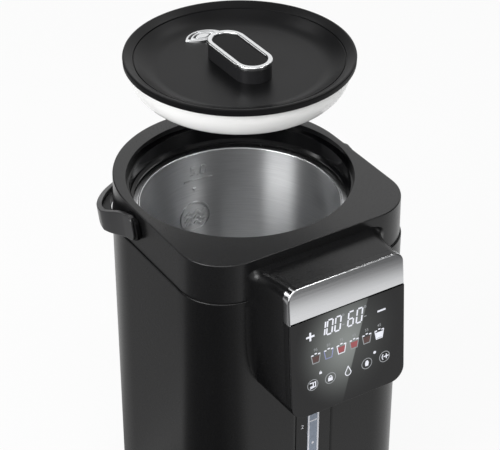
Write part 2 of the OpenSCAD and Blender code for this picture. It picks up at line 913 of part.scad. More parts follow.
module control_housing() color(black_plastic) on_axis() difference() {
    union() {
        difference() {
            union() {
                housing_box(0);
                panel_frame() translate([0, 0, -band_return - 0.5]) {
                    linear_extrude(band_return + 0.5 - glass_t) {
                        panel_outline(0, -cut, band_low);
                        panel_outline(band_t + touch_gap, band_low - cut, panel_h);
                    }
                }
            }
            difference() {
                housing_box(housing_wall);
                translate([-panel_w, -panel_reach, 0]) {
                    cube([2 * panel_w, panel_reach, housing_floor_z + housing_wall]);
                }
            }
            panel_frame() translate([0, 0, -band_return - cut]) linear_extrude(band_return + 3) {
                panel_outline(frame_w, -cut, band_low - frame_w);
            }
        }
        intersection() {
            housing_bosses();
            housing_box(1);
        }
        board_bosses(board_boss_r, board_n + board_t, -band_return + 2);
    }
    body_slab(0, 0, seam_z);
    body_slab(collar_inset, seam_z - cut, collar_top);
    for (x = [-housing_screw_x, housing_screw_x], z = [housing_screw_low, housing_screw_high]) {
        translate([x, -body_front + cut, z]) rotate([90, 0, 0]) {
            cylinder(r = screw_r + thread_fit, h = housing_boss_l, $fn = 32);
        }
    }
    board_bosses(board_screw_r + thread_fit, board_n, -band_return + 1);
    translate([0, -spout_y, housing_floor_z - 10]) cylinder(r = nozzle_r + 0.2, h = 20);
}

module trim_band() color(bright_metal) on_axis() panel_frame() difference() {
    translate([0, 0, -band_return]) linear_extrude(band_return) {
        panel_outline(0, band_low + 0.1, panel_h + cut);
    }
    translate([0, 0, -band_return - cut]) linear_extrude(band_return + cut - band_t) {
        panel_outline(band_t, band_low - cut, panel_h);
    }
}

module panel_glass() color(gloss_black) on_axis() panel_frame() {
    translate([0, 0, -glass_t]) linear_extrude(glass_t) panel_outline(0, -cut, band_low);
}

module display_board() color(board_green) on_axis() difference() {
    panel_frame() translate([-board_w / 2, board_low, board_n]) cube([board_w, board_h, board_t]);
    board_bosses(board_screw_r + 0.3, board_n - cut, board_n + board_t + cut);
}

module display_module() color("white") on_axis() panel_frame() {
    translate([-display_w / 2, display_v - display_h / 2, board_n + board_t]) {
        cube([display_w, display_h, -board_n - board_t - glass_t]);
    }
}

module housing_screws() color(steel) on_axis() {
    for (x = [-housing_screw_x, housing_screw_x], z = [housing_screw_low, housing_screw_high]) {
        translate([x, shell_wall - body_front, z]) rotate([90, 0, 0]) {
            screw(screw_r, screw_head_r, screw_head_h, housing_screw_l);
        }
    }
}

module board_screws() color(steel) on_axis() {
    for (x = [-board_screw_x, board_screw_x], v = [board_screw_low, board_screw_high]) {
        panel_frame() translate([x, v, board_n]) screw(board_screw_r, 2.6, 1.6, 4);
    }
    for (x = [-standoff_x, standoff_x], y = [5, power_board_l - 5]) {
        translate([x, power_board_y + y, power_board_z + board_t]) rotate([180, 0, 0]) {
            screw(board_screw_r, 2.6, 1.6, 6);
        }
    }
}

module display_cable() color("dimgray") on_axis() {
    plug_x = 4 - power_board_w / 2;
    plug_y = power_board_y + 12;
    plug_z = power_board_z + board_t + cable_half + touch_gap;
    side_x = -half_w + 29.7;
    turn_y = -body_front + 18.6;
    top_z = spout_z - 4;
    top_x = 4 - window_half;
    cable_run([
        [plug_x, plug_y, plug_z], [side_x, plug_y, plug_z], [side_x, turn_y, plug_z],
        [side_x, turn_y, top_z], [top_x, turn_y, top_z],
        [top_x, panel_board_back(top_z) + cable_half + touch_gap, top_z]
    ], cable_half);
}

// A square cable whose spans each lie along one axis
module cable_run(points, half) {
    for (i = [0 : len(points) - 2]) {
        low = [for (k = [0 : 2]) min(points[i][k], points[i + 1][k]) - half];
        high = [for (k = [0 : 2]) max(points[i][k], points[i + 1][k]) + half];
        translate(low) cube(high - low);
    }
}

// Where the back of the display board lies at a height
function panel_board_back(z) = -panel_reach + (z - panel_foot_z()) * tan(panel_lean)
    - board_n / cos(panel_lean) + 0.1;

// ---- Power parts ----

module power_board() color(board_green) on_axis() difference() {
    translate([-power_board_w / 2, power_board_y, power_board_z]) {
        cube([power_board_w, power_board_l, board_t]);
    }
    for (x = [-standoff_x, standoff_x], y = [5, power_board_l - 5]) {
        translate([x, power_board_y + y, power_board_z - cut]) {
            cylinder(r = board_screw_r + 0.3, h = board_t + 2 * cut);
        }
    }
}

module transformer() color("goldenrod") on_axis() {
    translate([-26, power_board_y + 26, power_board_z + board_t]) cube([30, 26, 20]);
}

module relay() color("royalblue") on_axis() {
    translate([12, power_board_y + 28, power_board_z + board_t]) cube([20, 16, 15]);
}

module power_inlet() color(black_plastic) on_axis() {
    inner = body_back + inlet_proud - inlet_depth;
    difference() {
        translate([-inlet_w / 2, inner, inlet_z - inlet_h / 2]) {
            cube([inlet_w, inlet_depth, inlet_h]);
        }
        translate([-inlet_w / 2 + 2.4, inner + 4, inlet_z - inlet_h / 2 + 2.4]) {
            cube([inlet_w - 4.8, inlet_depth, inlet_h - 4.8]);
        }
    }
    for (x = [-7, 0, 7]) {
        translate([x - 2, inner + 3, inlet_z - 1 + (x == 0 ? 3 : -2)]) cube([4, 9, 2]);
    }
}

module mains_leads() color("brown") on_axis() {
    inner = body_back + inlet_proud - inlet_depth;
    for (x = [-7, 0, 7]) {
        wire([
            [x, inner - 1.5, inlet_z], [x, inner - 6, inlet_z - 4],
            [x, inner - 9, power_board_z + board_t + 8],
            [x, inner - 14, power_board_z + board_t + 1.6]
        ], 1.4);
    }
}

// ---- Handle ----

module hub(side) {
    translate([side * collar_half_w, 0, pivot_z]) rotate([0, side * 90, 0]) {
        pipe(hub_r, pin_r + running_gap, 0, hub_face - collar_half_w);
    }
}

module left_hub() color(black_plastic) on_axis() hub(-1);

module right_hub() color(black_plastic) on_axis() hub(1);

// Plan of the strap: two arms that join a round back
module strap_plan() {
    half_at_join = sqrt(grip_r * grip_r - pow(arm_join_y - handle_reach, 2));
    half_at_bend = handle_half_w + (half_at_join - handle_half_w) * arm_bend_share;
    intersection() {
        translate([0, handle_reach]) difference() {
            circle(r = grip_r, $fn = 160);
            circle(r = grip_r - strap_t, $fn = 160);
        }
        translate([-grip_r - 1, arm_join_y]) square([2 * grip_r + 2, grip_reach]);
    }
    for (side = [-1, 1]) {
        scale([side, 1]) polygon([
            [handle_half_w, arm_end], [handle_half_w, arm_straight_to],
            [half_at_bend, arm_bend_y], [half_at_join, arm_join_y + 0.2],
            [half_at_join - strap_t, arm_join_y + 0.2], [half_at_bend - strap_t, arm_bend_y],
            [handle_half_w - strap_t, arm_straight_to], [handle_half_w - strap_t, arm_end]
        ]);
    }
}

// Side view of the strap: y back along the arm, z up
module strap_side() {
    half_end = strap_end_h / 2;
    half_grip = strap_grip_h / 2;
    round_y = arm_end + strap_round;
    polygon([
        [round_y, -half_end], [taper_from, -half_end], [taper_to, -half_grip],
        [grip_reach + cut, -half_grip], [grip_reach + cut, half_grip], [taper_to, half_grip],
        [taper_from, half_end], [round_y, half_end]
    ]);
    for (z = [strap_round - half_end, half_end - strap_round]) {
        translate([round_y, z]) circle(r = strap_round, $fn = 48);
    }
    translate([arm_end, strap_round - half_end]) {
        square([strap_round + 2, strap_end_h - 2 * strap_round]);
    }
}

module handle() color(black_plastic) on_axis() {
    translate([0, 0, pivot_z]) rotate([-handle_tilt, 0, 0]) {
        intersection() {
            translate([0, 0, -strap_end_h]) linear_extrude(2 * strap_end_h) strap_plan();
            translate([-handle_span, 0, 0]) rotate([90, 0, 90]) {
                linear_extrude(2 * handle_span) strap_side();
            }
        }
        for (side = [-1, 1]) {
            translate([side * (handle_half_w - strap_t / 2), 0, 0]) rotate([0, -side * 90, 0]) {
                cylinder(r = pin_r, h = handle_half_w - strap_t / 2 - pin_inner);
            }
        }
    }
}

module pin_clips() color(steel) on_axis() {
    for (side = [-1, 1]) {
        translate([side * (pin_inner + 0.8), 0, pivot_z]) rotate([0, side * 90, 0]) {
            pipe(clip_r, pin_r, 0, clip_t);
        }
    }
}

// ---- Lid ----

// Upper surface of the lid from the rim's edge to the flat of the dish
function dish_points(drop) = [
    for (i = [0 : 8]) let (t = i / 8)
        [dish_r - 0.6 - (dish_r - dish_floor_r) * t,
            -3.9 - (dish_depth - 3.9) * sin(90 * t) - drop]
];

module lid_top() color(grey_black) lifted() difference() {
    translate([0, 0, collar_top]) rotate_extrude($fn = 160) polygon(concat(
        [[0, -dish_depth - lid_plate_t], [dish_floor_r - 1, -dish_depth - lid_plate_t]],
        [[dish_r - 6, -9.8], [dish_r + 1, -lid_rim_h], [lid_rim_r - 1.6, -lid_rim_h]],
        [[lid_rim_r, -0.9], [lid_rim_r - 0.7, 0], [lid_rim_r - 2.6, -0.1]],
        [[dish_r, -3.6]], dish_points(0), [[0, -dish_depth]]
    ));
    pipe(seal_out_r + 0.05, seal_in_r - 0.05, collar_top - lid_rim_h - cut,
        collar_top - lid_rim_h + seal_groove);
    vent_slots(collar_top - dish_depth - lid_plate_t - cut, lid_plate_t + 2 * cut, 2.2);
    for (y = [-knob_l / 4, knob_l / 4]) {
        translate([0, y, collar_top - 20]) cylinder(r = screw_r + 0.3, h = 12, $fn = 32);
    }
    for (a = [45 : 90 : 315]) {
        rotate(a) translate([lid_screw_at, 0, collar_top - 30]) {
            cylinder(r = screw_r + thread_fit, h = 30 - dish_depth - 1, $fn = 32);
        }
    }
}

// Half section of the rounded underside, moved in by a distance
module lid_base_section(inset) {
    width = lid_base_r - lid_bottom_r;
    polygon(concat(
        [[0, lid_bottom_z + inset]],
        [for (i = [0 : 12]) let (t = 90 * i / 12)
            [lid_bottom_r + width * sin(t) - inset * sin(t),
                lid_bottom_z + lid_base_h - (lid_base_h - inset) * cos(t)]],
        [[0, lid_bottom_z + lid_base_h]]
    ));
}

module lid_base() color(white_plastic) lifted() difference() {
    union() {
        rotate_extrude($fn = 160) difference() {
            lid_base_section(0);
            lid_base_section(lid_wall);
        }
        for (a = [45 : 90 : 315]) {
            rotate(a) translate([lid_screw_at, 0, lid_bottom_z + 1]) {
                cylinder(r = 4.5, h = collar_top - dish_depth - lid_plate_t - lid_bottom_z - 1);
            }
        }
    }
    for (a = [45 : 90 : 315]) {
        rotate(a) translate([lid_screw_at, 0, lid_bottom_z - cut]) {
            cylinder(r = screw_r + 0.3, h = 30);
            cylinder(r = screw_head_r + 0.3, h = screw_head_h + cut + 0.4);
        }
    }
    vent_slots(lid_bottom_z - cut, lid_wall + 2 * cut, 2.2);
}

// The ring seal sits in a groove under the rim and meets the collar's ledge
module lid_seal() color(rubber_black) lifted() {
    pipe(seal_out_r, seal_in_r, collar_top - ledge_depth + 0.05,
        collar_top - lid_rim_h + seal_groove - 0.1);
}

module lid_foam() color("lightgray") lifted() difference() {
    pipe(foam_r, 0.5, lid_bottom_z + lid_wall + 0.2, collar_top - dish_depth - lid_plate_t - 3);
    translate([-knob_w / 2, foam_cut_y, 0]) cube([knob_w, foam_r, collar_top]);
}

module lid_screws() color(steel) lifted() {
    for (a = [45 : 90 : 315]) {
        rotate(a) translate([lid_screw_at, 0, lid_bottom_z + screw_head_h + 0.4]) {
            screw(screw_r, screw_head_r, screw_head_h, lid_screw_l);
        }
    }
    for (y = [-knob_l / 4, knob_l / 4]) {
        translate([0, y, collar_top - dish_depth - lid_plate_t]) {
            screw(screw_r, screw_head_r, screw_head_h, knob_screw_l);
        }
    }
}

// Plan of the knob: straight sides along Y with round ends
module knob_plan(inset) {
    end_y = (knob_l - knob_w) / 2;
    for (side = [-1, 1]) {
        translate([0, side * end_y]) circle(r = knob_w / 2 - inset);
    }
    translate([-knob_w / 2 + inset, -end_y]) square([knob_w - 2 * inset, 2 * end_y]);
}

module knob() color(black_plastic) lifted() difference() {
    union() {
        translate([0, 0, knob_foot]) linear_extrude(ring_z - knob_foot) knob_plan(0.8);
        translate([0, 0, ring_z - cut]) {
            linear_extrude(ring_h - inlay_drop - inlay_t + cut) knob_plan(ring_w + slip);
        }
    }
    for (y = [-knob_l / 4, knob_l / 4]) {
        translate([0, y, knob_foot - cut]) cylinder(r = screw_r + thread_fit, h = 8.5, $fn = 32);
    }
}

module knob_ring() color(bright_metal) lifted() {
    translate([0, 0, ring_z]) linear_extrude(ring_h) difference() {
        knob_plan(0);
        knob_plan(ring_w);
    }
}

module knob_inlay() color(gloss_black) lifted() {
    translate([0, 0, ring_z + ring_h - inlay_drop - inlay_t]) {
        linear_extrude(inlay_t) knob_plan(ring_w + slip);
    }
}

// Pointed oval of the steam vent
module vent_plan(inset) {
    arc_r = (vent_half_l * vent_half_l + vent_half_w * vent_half_w) / (2 * vent_half_w);
    translate([0, vent_y]) intersection() {
        translate([0, arc_r - vent_half_w]) circle(r = arc_r - inset);
        translate([0, vent_half_w - arc_r]) circle(r = arc_r - inset);
    }
}

module vent_slots(low, height, inset) {
    translate([0, 0, low]) linear_extrude(height) intersection() {
        vent_plan(inset);
        for (y = [-4.6, 0, 4.6]) {
            translate([-20, vent_y + y - 1.1]) square([40, 2.2]);
        }
    }
}

module steam_vent() color(bright_metal) lifted() difference() {
    translate([0, 0, knob_foot]) linear_extrude(vent_t) vent_plan(0);
    vent_slots(knob_foot - cut, vent_t + 2 * cut, 2.2);
}

outer_shell();
base_pan();
feet();
base_screws();
top_collar();
collar_gasket();
clamp_ring();
clamp_screws();
inner_liner();
felt_jacket();
liner_support();
heater_plate();
heater_element();
heater_leads();
thermal_cutouts();
temperature_sensor();
outlet_elbow();
strainer();
inlet_hose();
pump_housing();
pump_cover();
pump_motor();
motor_shaft();
drive_magnet();
impeller();
delivery_hose();
gauge_tube();
gauge_panel();
gauge_window();
valve_body();
valve_ball();
spout_pipe();
spout_nozzle();
control_housing();
trim_band();
panel_glass();
display_board();
display_module();
housing_screws();
board_screws();
display_cable();
power_board();
transformer();
relay();
power_inlet();
mains_leads();
left_hub();
right_hub();
handle();
pin_clips();
lid_top();
lid_base();
lid_seal();
lid_foam();
lid_screws();
knob();
knob_ring();
knob_inlay();
steam_vent();
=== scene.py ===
from math import asin, atan2, cos, degrees, hypot, pi, radians, sin, sqrt

import bmesh
import bpy
from mathutils import Matrix, Vector


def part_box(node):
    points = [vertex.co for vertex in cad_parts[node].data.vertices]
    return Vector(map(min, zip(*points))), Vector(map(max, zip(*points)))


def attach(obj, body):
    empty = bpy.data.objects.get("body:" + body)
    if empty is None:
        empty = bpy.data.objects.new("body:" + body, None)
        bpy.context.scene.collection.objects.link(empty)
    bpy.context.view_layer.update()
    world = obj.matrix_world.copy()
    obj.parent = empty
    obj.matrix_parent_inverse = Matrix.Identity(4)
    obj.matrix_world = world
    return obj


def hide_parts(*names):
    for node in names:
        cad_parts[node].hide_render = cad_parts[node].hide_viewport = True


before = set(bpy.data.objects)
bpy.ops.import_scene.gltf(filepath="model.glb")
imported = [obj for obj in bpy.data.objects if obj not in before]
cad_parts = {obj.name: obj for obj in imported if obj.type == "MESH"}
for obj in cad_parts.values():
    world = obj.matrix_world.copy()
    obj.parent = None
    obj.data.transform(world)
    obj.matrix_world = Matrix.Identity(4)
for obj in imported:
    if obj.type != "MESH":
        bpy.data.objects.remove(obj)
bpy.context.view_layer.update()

# ---- Camera ----
# A long lens looks down on the pot's front left corner and crops its lower part.
# Sizes in this script are millimetres about the liner's upright axis, with z from the table.
MM = 0.001
liner_low, liner_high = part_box("inner_liner")
AXIS_Y = (liner_low.y + liner_high.y) / 2

camera = bpy.data.objects.new("camera", bpy.data.cameras.new("camera"))
bpy.context.collection.objects.link(camera)
bpy.context.scene.camera = camera
camera.location = (-0.6561, AXIS_Y - 1.0675, 1.1176)
camera.rotation_mode = "QUATERNION"
camera.rotation_quaternion = Vector((0.4413, 0.7075, -0.552)).to_track_quat("-Z", "Y")
camera.data.lens = 127.09
camera.data.sensor_width = 36
camera.data.clip_start = 0.05
camera.data.clip_end = 40
bpy.context.scene.view_settings.view_transform = "Standard"


# ---- Floor and light ----
# A matt white board under the pot, white walls with darker gaps between them, and large lamps.
# The camera sees white all round; the floor keeps a soft shadow of the pot.
def to_linear(code):
    channels = [int(code[i:i + 2], 16) / 255 for i in (0, 2, 4)]
    return [c / 12.92 if c <= 0.04045 else ((c + 0.055) / 1.055) ** 2.4 for c in channels] + [1]


def add_node(tree, kind, inputs={}, **settings):
    """Adds a node. Each input is a value, or another node's output to link to it"""
    node = tree.nodes.new("ShaderNode" + kind)
    for name, value in settings.items():
        setattr(node, name, value)
    for socket, source in inputs.items():
        if isinstance(source, bpy.types.NodeSocket):
            tree.links.new(source, node.inputs[socket])
        else:
            node.inputs[socket].default_value = source
    return node


def plug(tree, shader, **sources):
    """Links outputs to the shader's inputs of those names"""
    for socket, source in sources.items():
        tree.links.new(source, shader.inputs[socket.replace("_", " ")])


def new_material(name, colour, spec=0.5, **settings):
    """A material with its colour, its specular level and other constants on the shader"""
    material = bpy.data.materials.new(name)
    material.use_nodes = True
    shader = material.node_tree.nodes["Principled BSDF"]
    shader.inputs["Base Color"].default_value = to_linear(colour)
    shader.inputs["Specular IOR Level"].default_value = spec
    for socket, value in settings.items():
        shader.inputs[socket.replace("_", " ")].default_value = value
    return material, material.node_tree, shader


def white_walls(tree, place, walls):
    """White for the camera, and in reflections a white that changes with the bearing: 180 is
    the pot's left and 270 its front. Gives that white, where it is seen in a reflection, and
    where the camera or a reflection sees it."""
    path = add_node(tree, "LightPath").outputs
    mirrored = add_node(tree, "Math", {
        0: path["Is Glossy Ray"], 1: path["Is Transmission Ray"]}, operation="MAXIMUM").outputs[0]
    seen = add_node(tree, "Math", {0: path["Is Camera Ray"], 1: mirrored},
                    operation="MAXIMUM").outputs[0]
    bearing = add_node(tree, "TexGradient", {"Vector": place}, gradient_type="RADIAL")
    ramp = add_node(tree, "ValToRGB", {"Fac": bearing.outputs["Fac"]})
    ramp.color_ramp.interpolation = "EASE"
    stops = sorted(((angle + 180) % 360 / 360, level) for angle, level in walls)
    for _ in stops[2:]:
        ramp.color_ramp.elements.new(0.5)
    for stop, (at, level) in zip(ramp.color_ramp.elements, stops):
        stop.position = at
        stop.color = (level, level, level, 1)
    white = add_node(tree, "Math", {0: ramp.outputs["Color"], 1: path["Is Camera Ray"]},
                     operation="MAXIMUM").outputs[0]
    return white, mirrored, seen


FLOOR_HALF = 4
BOARD_GLOW = 0.9
FILL = 0.42

# Painted board, bright enough to pass for white
matt_white_board, tree, shader = new_material("matt_white_board", "e8e8e8", Roughness=0.9)
place = add_node(tree, "TexCoord").outputs["Object"]
white, mirrored, seen = white_walls(tree, place, (
    (0, 0.95), (60, 1), (90, 0.95), (122, 0.27), (138, 0.25), (144, 0.3), (149, 0.48),
    (154, 0.28), (162, 0.12), (172, 0.05), (186, 0.005), (225, 0.005), (250, 0.2), (280, 0.85),
    (302, 0.86)))
spread = add_node(tree, "VectorMath", {0: place}, operation="LENGTH")
distant = add_node(tree, "MapRange", {
    "Value": spread.outputs["Value"], "From Min": 0.7, "From Max": 1.0, "To Min": 1,
    "To Max": 0.05}, interpolation_type="SMOOTHSTEP")
dimmed = add_node(tree, "Math", {0: white, 1: distant.outputs[0]}, operation="MULTIPLY")
level = add_node(tree, "Mix", {0: mirrored, 2: white, 3: dimmed.outputs[0]})
glow = add_node(tree, "Emission", {"Color": to_linear("ffffff"), "Strength": level.outputs[0]})
share = add_node(tree, "Math", {0: seen, 1: BOARD_GLOW}, operation="MULTIPLY")
mixed = add_node(tree, "MixShader", {
    0: share.outputs[0], 1: shader.outputs[0], 2: glow.outputs[0]})
tree.links.new(mixed.outputs[0], tree.nodes["Material Output"].inputs["Surface"])


def new_piece(bm, name, materials):
    mesh = bpy.data.meshes.new(name)
    bm.to_mesh(mesh)
    bm.free()
    for material in materials:
        mesh.materials.append(material)
    piece = bpy.data.objects.new(name, mesh)
    bpy.context.collection.objects.link(piece)
    return piece


bm = bmesh.new()
bmesh.ops.create_grid(bm, x_segments=1, y_segments=1, size=FLOOR_HALF)
floor = new_piece(bm, "floor", [matt_white_board])

studio = bpy.data.worlds.new("studio")
studio.use_nodes = True
bpy.context.scene.world = studio
tree = studio.node_tree
fill = tree.nodes["Background"]
fill.inputs["Color"].default_value = to_linear("ffffff")
fill.inputs["Strength"].default_value = FILL
sky = add_node(tree, "TexCoord").outputs["Generated"]
white, mirrored, seen = white_walls(tree, sky, (
    (8, 0.6), (30, 1), (70, 1), (84, 0.5), (94, 0.02), (110, 0), (150, 0), (160, 0.2),
    (168, 0.7), (176, 1), (224, 1), (236, 0.85), (250, 0.65), (268, 0.6), (280, 0.8),
    (288, 0.8), (298, 0.55), (308, 0.25), (320, 0.04), (334, 0), (350, 0)))
walls = add_node(tree, "Background", {"Color": to_linear("ffffff"), "Strength": white})
mixed = add_node(tree, "MixShader", {0: seen, 1: fill.outputs[0], 2: walls.outputs[0]})
tree.links.new(mixed.outputs[0], tree.nodes["World Output"].inputs["Surface"])

for name, place, aim, width, height, power in (
        ("left_softbox", (-1.95, -0.35, 1.5), (0, 0, 0.3), 1.3, 1.0, 34),
        ("front_softbox", (0.75, -1.4, 1.75), (0, 0, 0.3), 0.4, 0.4, 6),
        ("upper_softbox", (-0.64, -1.05, 2.0), (0, 0, 0.3), 1.2, 1.0, 11),
        ("rear_softbox", (-0.5, 1.25, 2.25), (0, 0, 0.43), 0.4, 0.4, 4),
        ("right_softbox", (1.33, 0.235, 2.25), (0, 0, 0.43), 0.4, 0.4, 4),
        ("low_softbox", (-1.3, 1.5, 0.74), (0, -0.1, 0.32), 0.5, 0.8, 2.5)):
    lamp = bpy.data.objects.new(name, bpy.data.lights.new(name, "AREA"))
    lamp.data.shape = "RECTANGLE"
    lamp.data.size = width
    lamp.data.size_y = height
    lamp.data.energy = power
    lamp.location = place
    lamp.rotation_euler = (Vector(aim) - Vector(place)).to_track_quat("-Z", "Y").to_euler()
    bpy.context.collection.objects.link(lamp)


# ---- Base pan and feet ----
# The pan is moulded in black polypropylene and carries the shell. Four rubber feet are pressed
# into its underside, and long screws hold the liner's support from below.
SOFT_BELOW = radians(35)
ROUND_ABOVE = radians(30)
MERGE = 1e-4
ROUND_STEPS = 160
FOOT_R = 9
FOOT_H = 3
FEET = ((-66, -80.9), (66, -80.9), (-62.2, 62.2), (62.2, 62.2))


def add_grain(tree, shader, grain, depth, rough_low, rough_high):
    """Noise with a grain in mm, raised by a depth in mm, that also varies the gloss"""
    place = add_node(tree, "TexCoord").outputs["Object"]
    speckle = add_node(tree, "TexNoise", {
        "Vector": place, "Scale": 1 / (grain * MM), "Detail": 3.0}).outputs["Fac"]
    bump = add_node(tree, "Bump", {"Height": speckle, "Strength": 1.0, "Distance": depth * MM})
    gloss = add_node(tree, "MapRange", {
        "Value": speckle, "To Min": rough_low, "To Max": rough_high})
    plug(tree, shader, Normal=bump.outputs[0], Roughness=gloss.outputs[0])


def add_tint(tree, shader, first, second, size):
    """A slow drift between two colours over patches of a size in mm"""
    place = add_node(tree, "TexCoord").outputs["Object"]
    drift = add_node(tree, "TexNoise", {"Vector": place, "Scale": 1 / (size * MM)})
    mix = add_node(tree, "Mix", {
        0: drift.outputs["Fac"], 6: to_linear(first), 7: to_linear(second)}, data_type="RGBA")
    plug(tree, shader, Base_Color=mix.outputs[2])


def dress(material, *nodes):
    for name in nodes:
        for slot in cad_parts[name].material_slots:
            slot.material = material


def grained(name, colour, grain, tint, *nodes, **settings):
    """A material with what add_grain and add_tint take, put on the CAD nodes that are named"""
    material, tree, shader = new_material(name, colour, **settings)
    add_grain(tree, shader, *grain)
    add_tint(tree, shader, *tint)
    dress(material, *nodes)
    return material


def face_out(bm):
    bmesh.ops.recalc_face_normals(bm, faces=bm.faces)


def move(bm, matrix):
    bmesh.ops.transform(bm, matrix=matrix, verts=bm.verts)


def finish_piece(bm, name, materials, body, stands_for=(), edge=0.0, wall=0.0):
    """Brings a mesh in mm to its place in metres, rounds its edges and fixes it to a body"""
    move(bm, Matrix.Translation((0, AXIS_Y, 0)) @ Matrix.Scale(MM, 4))
    for face in bm.faces:
        face.smooth = True
    for joint in bm.edges:
        joint.smooth = bool(edge) or joint.calc_face_angle(0) < SOFT_BELOW
    piece = new_piece(bm, name, materials)
    if wall:
        sheet = piece.modifiers.new("wall", "SOLIDIFY")
        sheet.thickness = wall * MM
        sheet.offset = -1
    if edge:
        rounding = piece.modifiers.new("rounded_edges", "BEVEL")
        rounding.width = edge * MM
        rounding.segments = 3
        rounding.limit_method = "ANGLE"
        rounding.angle_limit = ROUND_ABOVE
    piece.modifiers.new("even_shading", "WEIGHTED_NORMAL").keep_sharp = not edge
    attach(piece, body)
    if stands_for:
        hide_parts(*stands_for)


def turned(bm, section, steps, closed=False, centre=(0, 0)):
    """Spins a half section of (radius, height) points into a turned solid"""
    ring = [bm.verts.new((centre[0] + r, centre[1], z)) for r, z in section]
    ends = ring[1:] + ring[:1] if closed else ring[1:]
    edges = [bm.edges.new(pair) for pair in zip(ring, ends)]
    bmesh.ops.spin(bm, geom=ring + edges, cent=(*centre, 0), axis=(0, 0, 1),
                   angle=2 * pi, steps=steps, use_merge=True)
    bmesh.ops.remove_doubles(bm, verts=bm.verts, dist=MERGE)
    face_out(bm)


def arc_points(x, y, radius, start, end, steps):
    """Points on an arc about a centre, between two angles in degrees"""
    turns = [radians(start + (end - start) * step / steps) for step in range(steps + 1)]
    return [(x + radius * cos(turn), y + radius * sin(turn)) for turn in turns]


# Satin black moulding with a fine spark grain
moulded_polypropylene = grained(
    "moulded_polypropylene", "161617", (0.9, 0.03, 0.42, 0.6), ("141415", "1a1a1b", 40), "base_pan",
    spec=0.3)

# Dull black, a little dusty
moulded_rubber = grained(
    "moulded_rubber", "151515", (0.7, 0.05, 0.7, 0.9), ("131313", "1c1b1a", 8), spec=0.3)

bm = bmesh.new()
for place in FEET:
    turned(bm, [(0, 0), (FOOT_R - 3, 0), (FOOT_R - 1, 0.2), (FOOT_R, 1), (FOOT_R, FOOT_H),
                (0, FOOT_H)], 32, centre=place)
finish_piece(bm, "rubber_feet", [moulded_rubber], "pot", ["feet"])

# Bright screws and small pressings with a slight yellow cast
grained(
    "zinc_plated_steel", "b9bcc0", (0.6, 0.01, 0.25, 0.42), ("aeb2b8", "c8c8c4", 5), "base_screws",
    "clamp_screws", "clamp_ring", "housing_screws", "board_screws", "lid_screws", "pin_clips",
    "pump_motor", "outlet_elbow", "motor_shaft", "valve_ball", Metallic=1.0)

# ---- Liner support and heater ----
# A ring of heat-resistant plastic carries the liner. Under its floor lie a cast aluminium plate
# with a bent tubular element, two glazed cut-outs, a copper sensor and sleeved leads.

# Undyed milky plastic that lets a little light in
grained(
    "natural_polypropylene", "e2e1db", (0.8, 0.02, 0.38, 0.5), ("dddcd5", "e8e7e2", 20),
    "liner_support", "pump_housing", "pump_cover", "impeller", "valve_body", Subsurface_Weight=0.15,
    Subsurface_Scale=0.003)

# Dull pale grey with the fine pits of a casting
grained(
    "cast_aluminium", "a9abad", (1.1, 0.08, 0.5, 0.68), ("a0a2a4", "b4b5b6", 12), "heater_plate",
    Metallic=1.0)

# Straw and brown stains where the tube runs hottest
grained(
    "heat_darkened_steel", "6f6a63", (1.5, 0.02, 0.35, 0.5), ("6d6864", "86745a", 15),
    "heater_element", Metallic=1.0)

# Cream ceramic under a clear glaze
grained(
    "glazed_steatite", "e3dac6", (2, 0.01, 0.1, 0.2), ("dfd5bf", "e8e0ce", 6), "thermal_cutouts")

# Bright copper going brown in patches
grained(
    "tarnished_copper", "c98d6a", (0.8, 0.01, 0.25, 0.45), ("cf9068", "a86f52", 5),
    "temperature_sensor", Metallic=1.0)

# White sleeving of two sets of slanting ribs, drawn 1 mm apart to show
glass_braid_sleeve, tree, shader = new_material("glass_braid_sleeve", "e6e5df", Roughness=0.75)
place = add_node(tree, "TexCoord").outputs["Object"]
ribs = [add_node(tree, "TexWave", {"Vector": place, "Scale": 1 / MM / 3.2, "Distortion": 0.4},
                 bands_direction=way).outputs["Fac"] for way in ("DIAGONAL", "Z")]
weave = add_node(tree, "Math", {0: ribs[0], 1: ribs[1]}, operation="MULTIPLY").outputs[0]
mix = add_node(tree, "Mix", {0: weave, 6: to_linear("c3c1b8"), 7: to_linear("e6e5df")},
               data_type="RGBA")
bump = add_node(tree, "Bump", {"Height": weave, "Strength": 1.0, "Distance": 0.1 * MM})
plug(tree, shader, Base_Color=mix.outputs[2], Normal=bump.outputs[0])
dress(glass_braid_sleeve, "heater_leads")

# ---- Liner ----
# The water vessel is drawn from stainless sheet, brushed round its wall, with a rolled bead at
# the mouth and a flange that the collar clamps. A strainer lies over its drain, and felt is
# wound round it.
LINER_R = 84.2
LINER_WALL = 0.8
LINER_FLOOR = 58
LINER_CORNER = 9.5
FLANGE_R = 94.5
FLANGE_TOP = 313.9
BEAD_R = 1.1

# Level brush lines drawn about 0.9 mm wide so that they show. Fine brushing
# spreads a reflection up and down the wall, which gives upright bands of light.
brushed_stainless, tree, shader = new_material(
    "brushed_stainless", "c6c7c9", Metallic=1.0, Anisotropic=1.0)
place = add_node(tree, "TexCoord").outputs["Object"]
centred = add_node(tree, "Mapping", {"Vector": place, "Location": (0, -AXIS_Y, 0)}).outputs[0]
stretched = add_node(tree, "Mapping", {
    "Vector": centred, "Scale": (1 / (25 * MM), 1 / (25 * MM), 1 / (0.9 * MM))})
lines = add_node(tree, "TexNoise", {
    "Vector": stretched.outputs[0], "Scale": 1.0, "Detail": 4.0}).outputs["Fac"]
mix = add_node(tree, "Mix", {0: lines, 6: to_linear("bcbdbf"), 7: to_linear("dcddde")},
               data_type="RGBA")
gloss = add_node(tree, "MapRange", {"Value": lines, "To Min": 0.36, "To Max": 0.46})
bump = add_node(tree, "Bump", {"Height": lines, "Strength": 0.5, "Distance": 0.015 * MM})
facing = add_node(tree, "NewGeometry").outputs["Normal"]
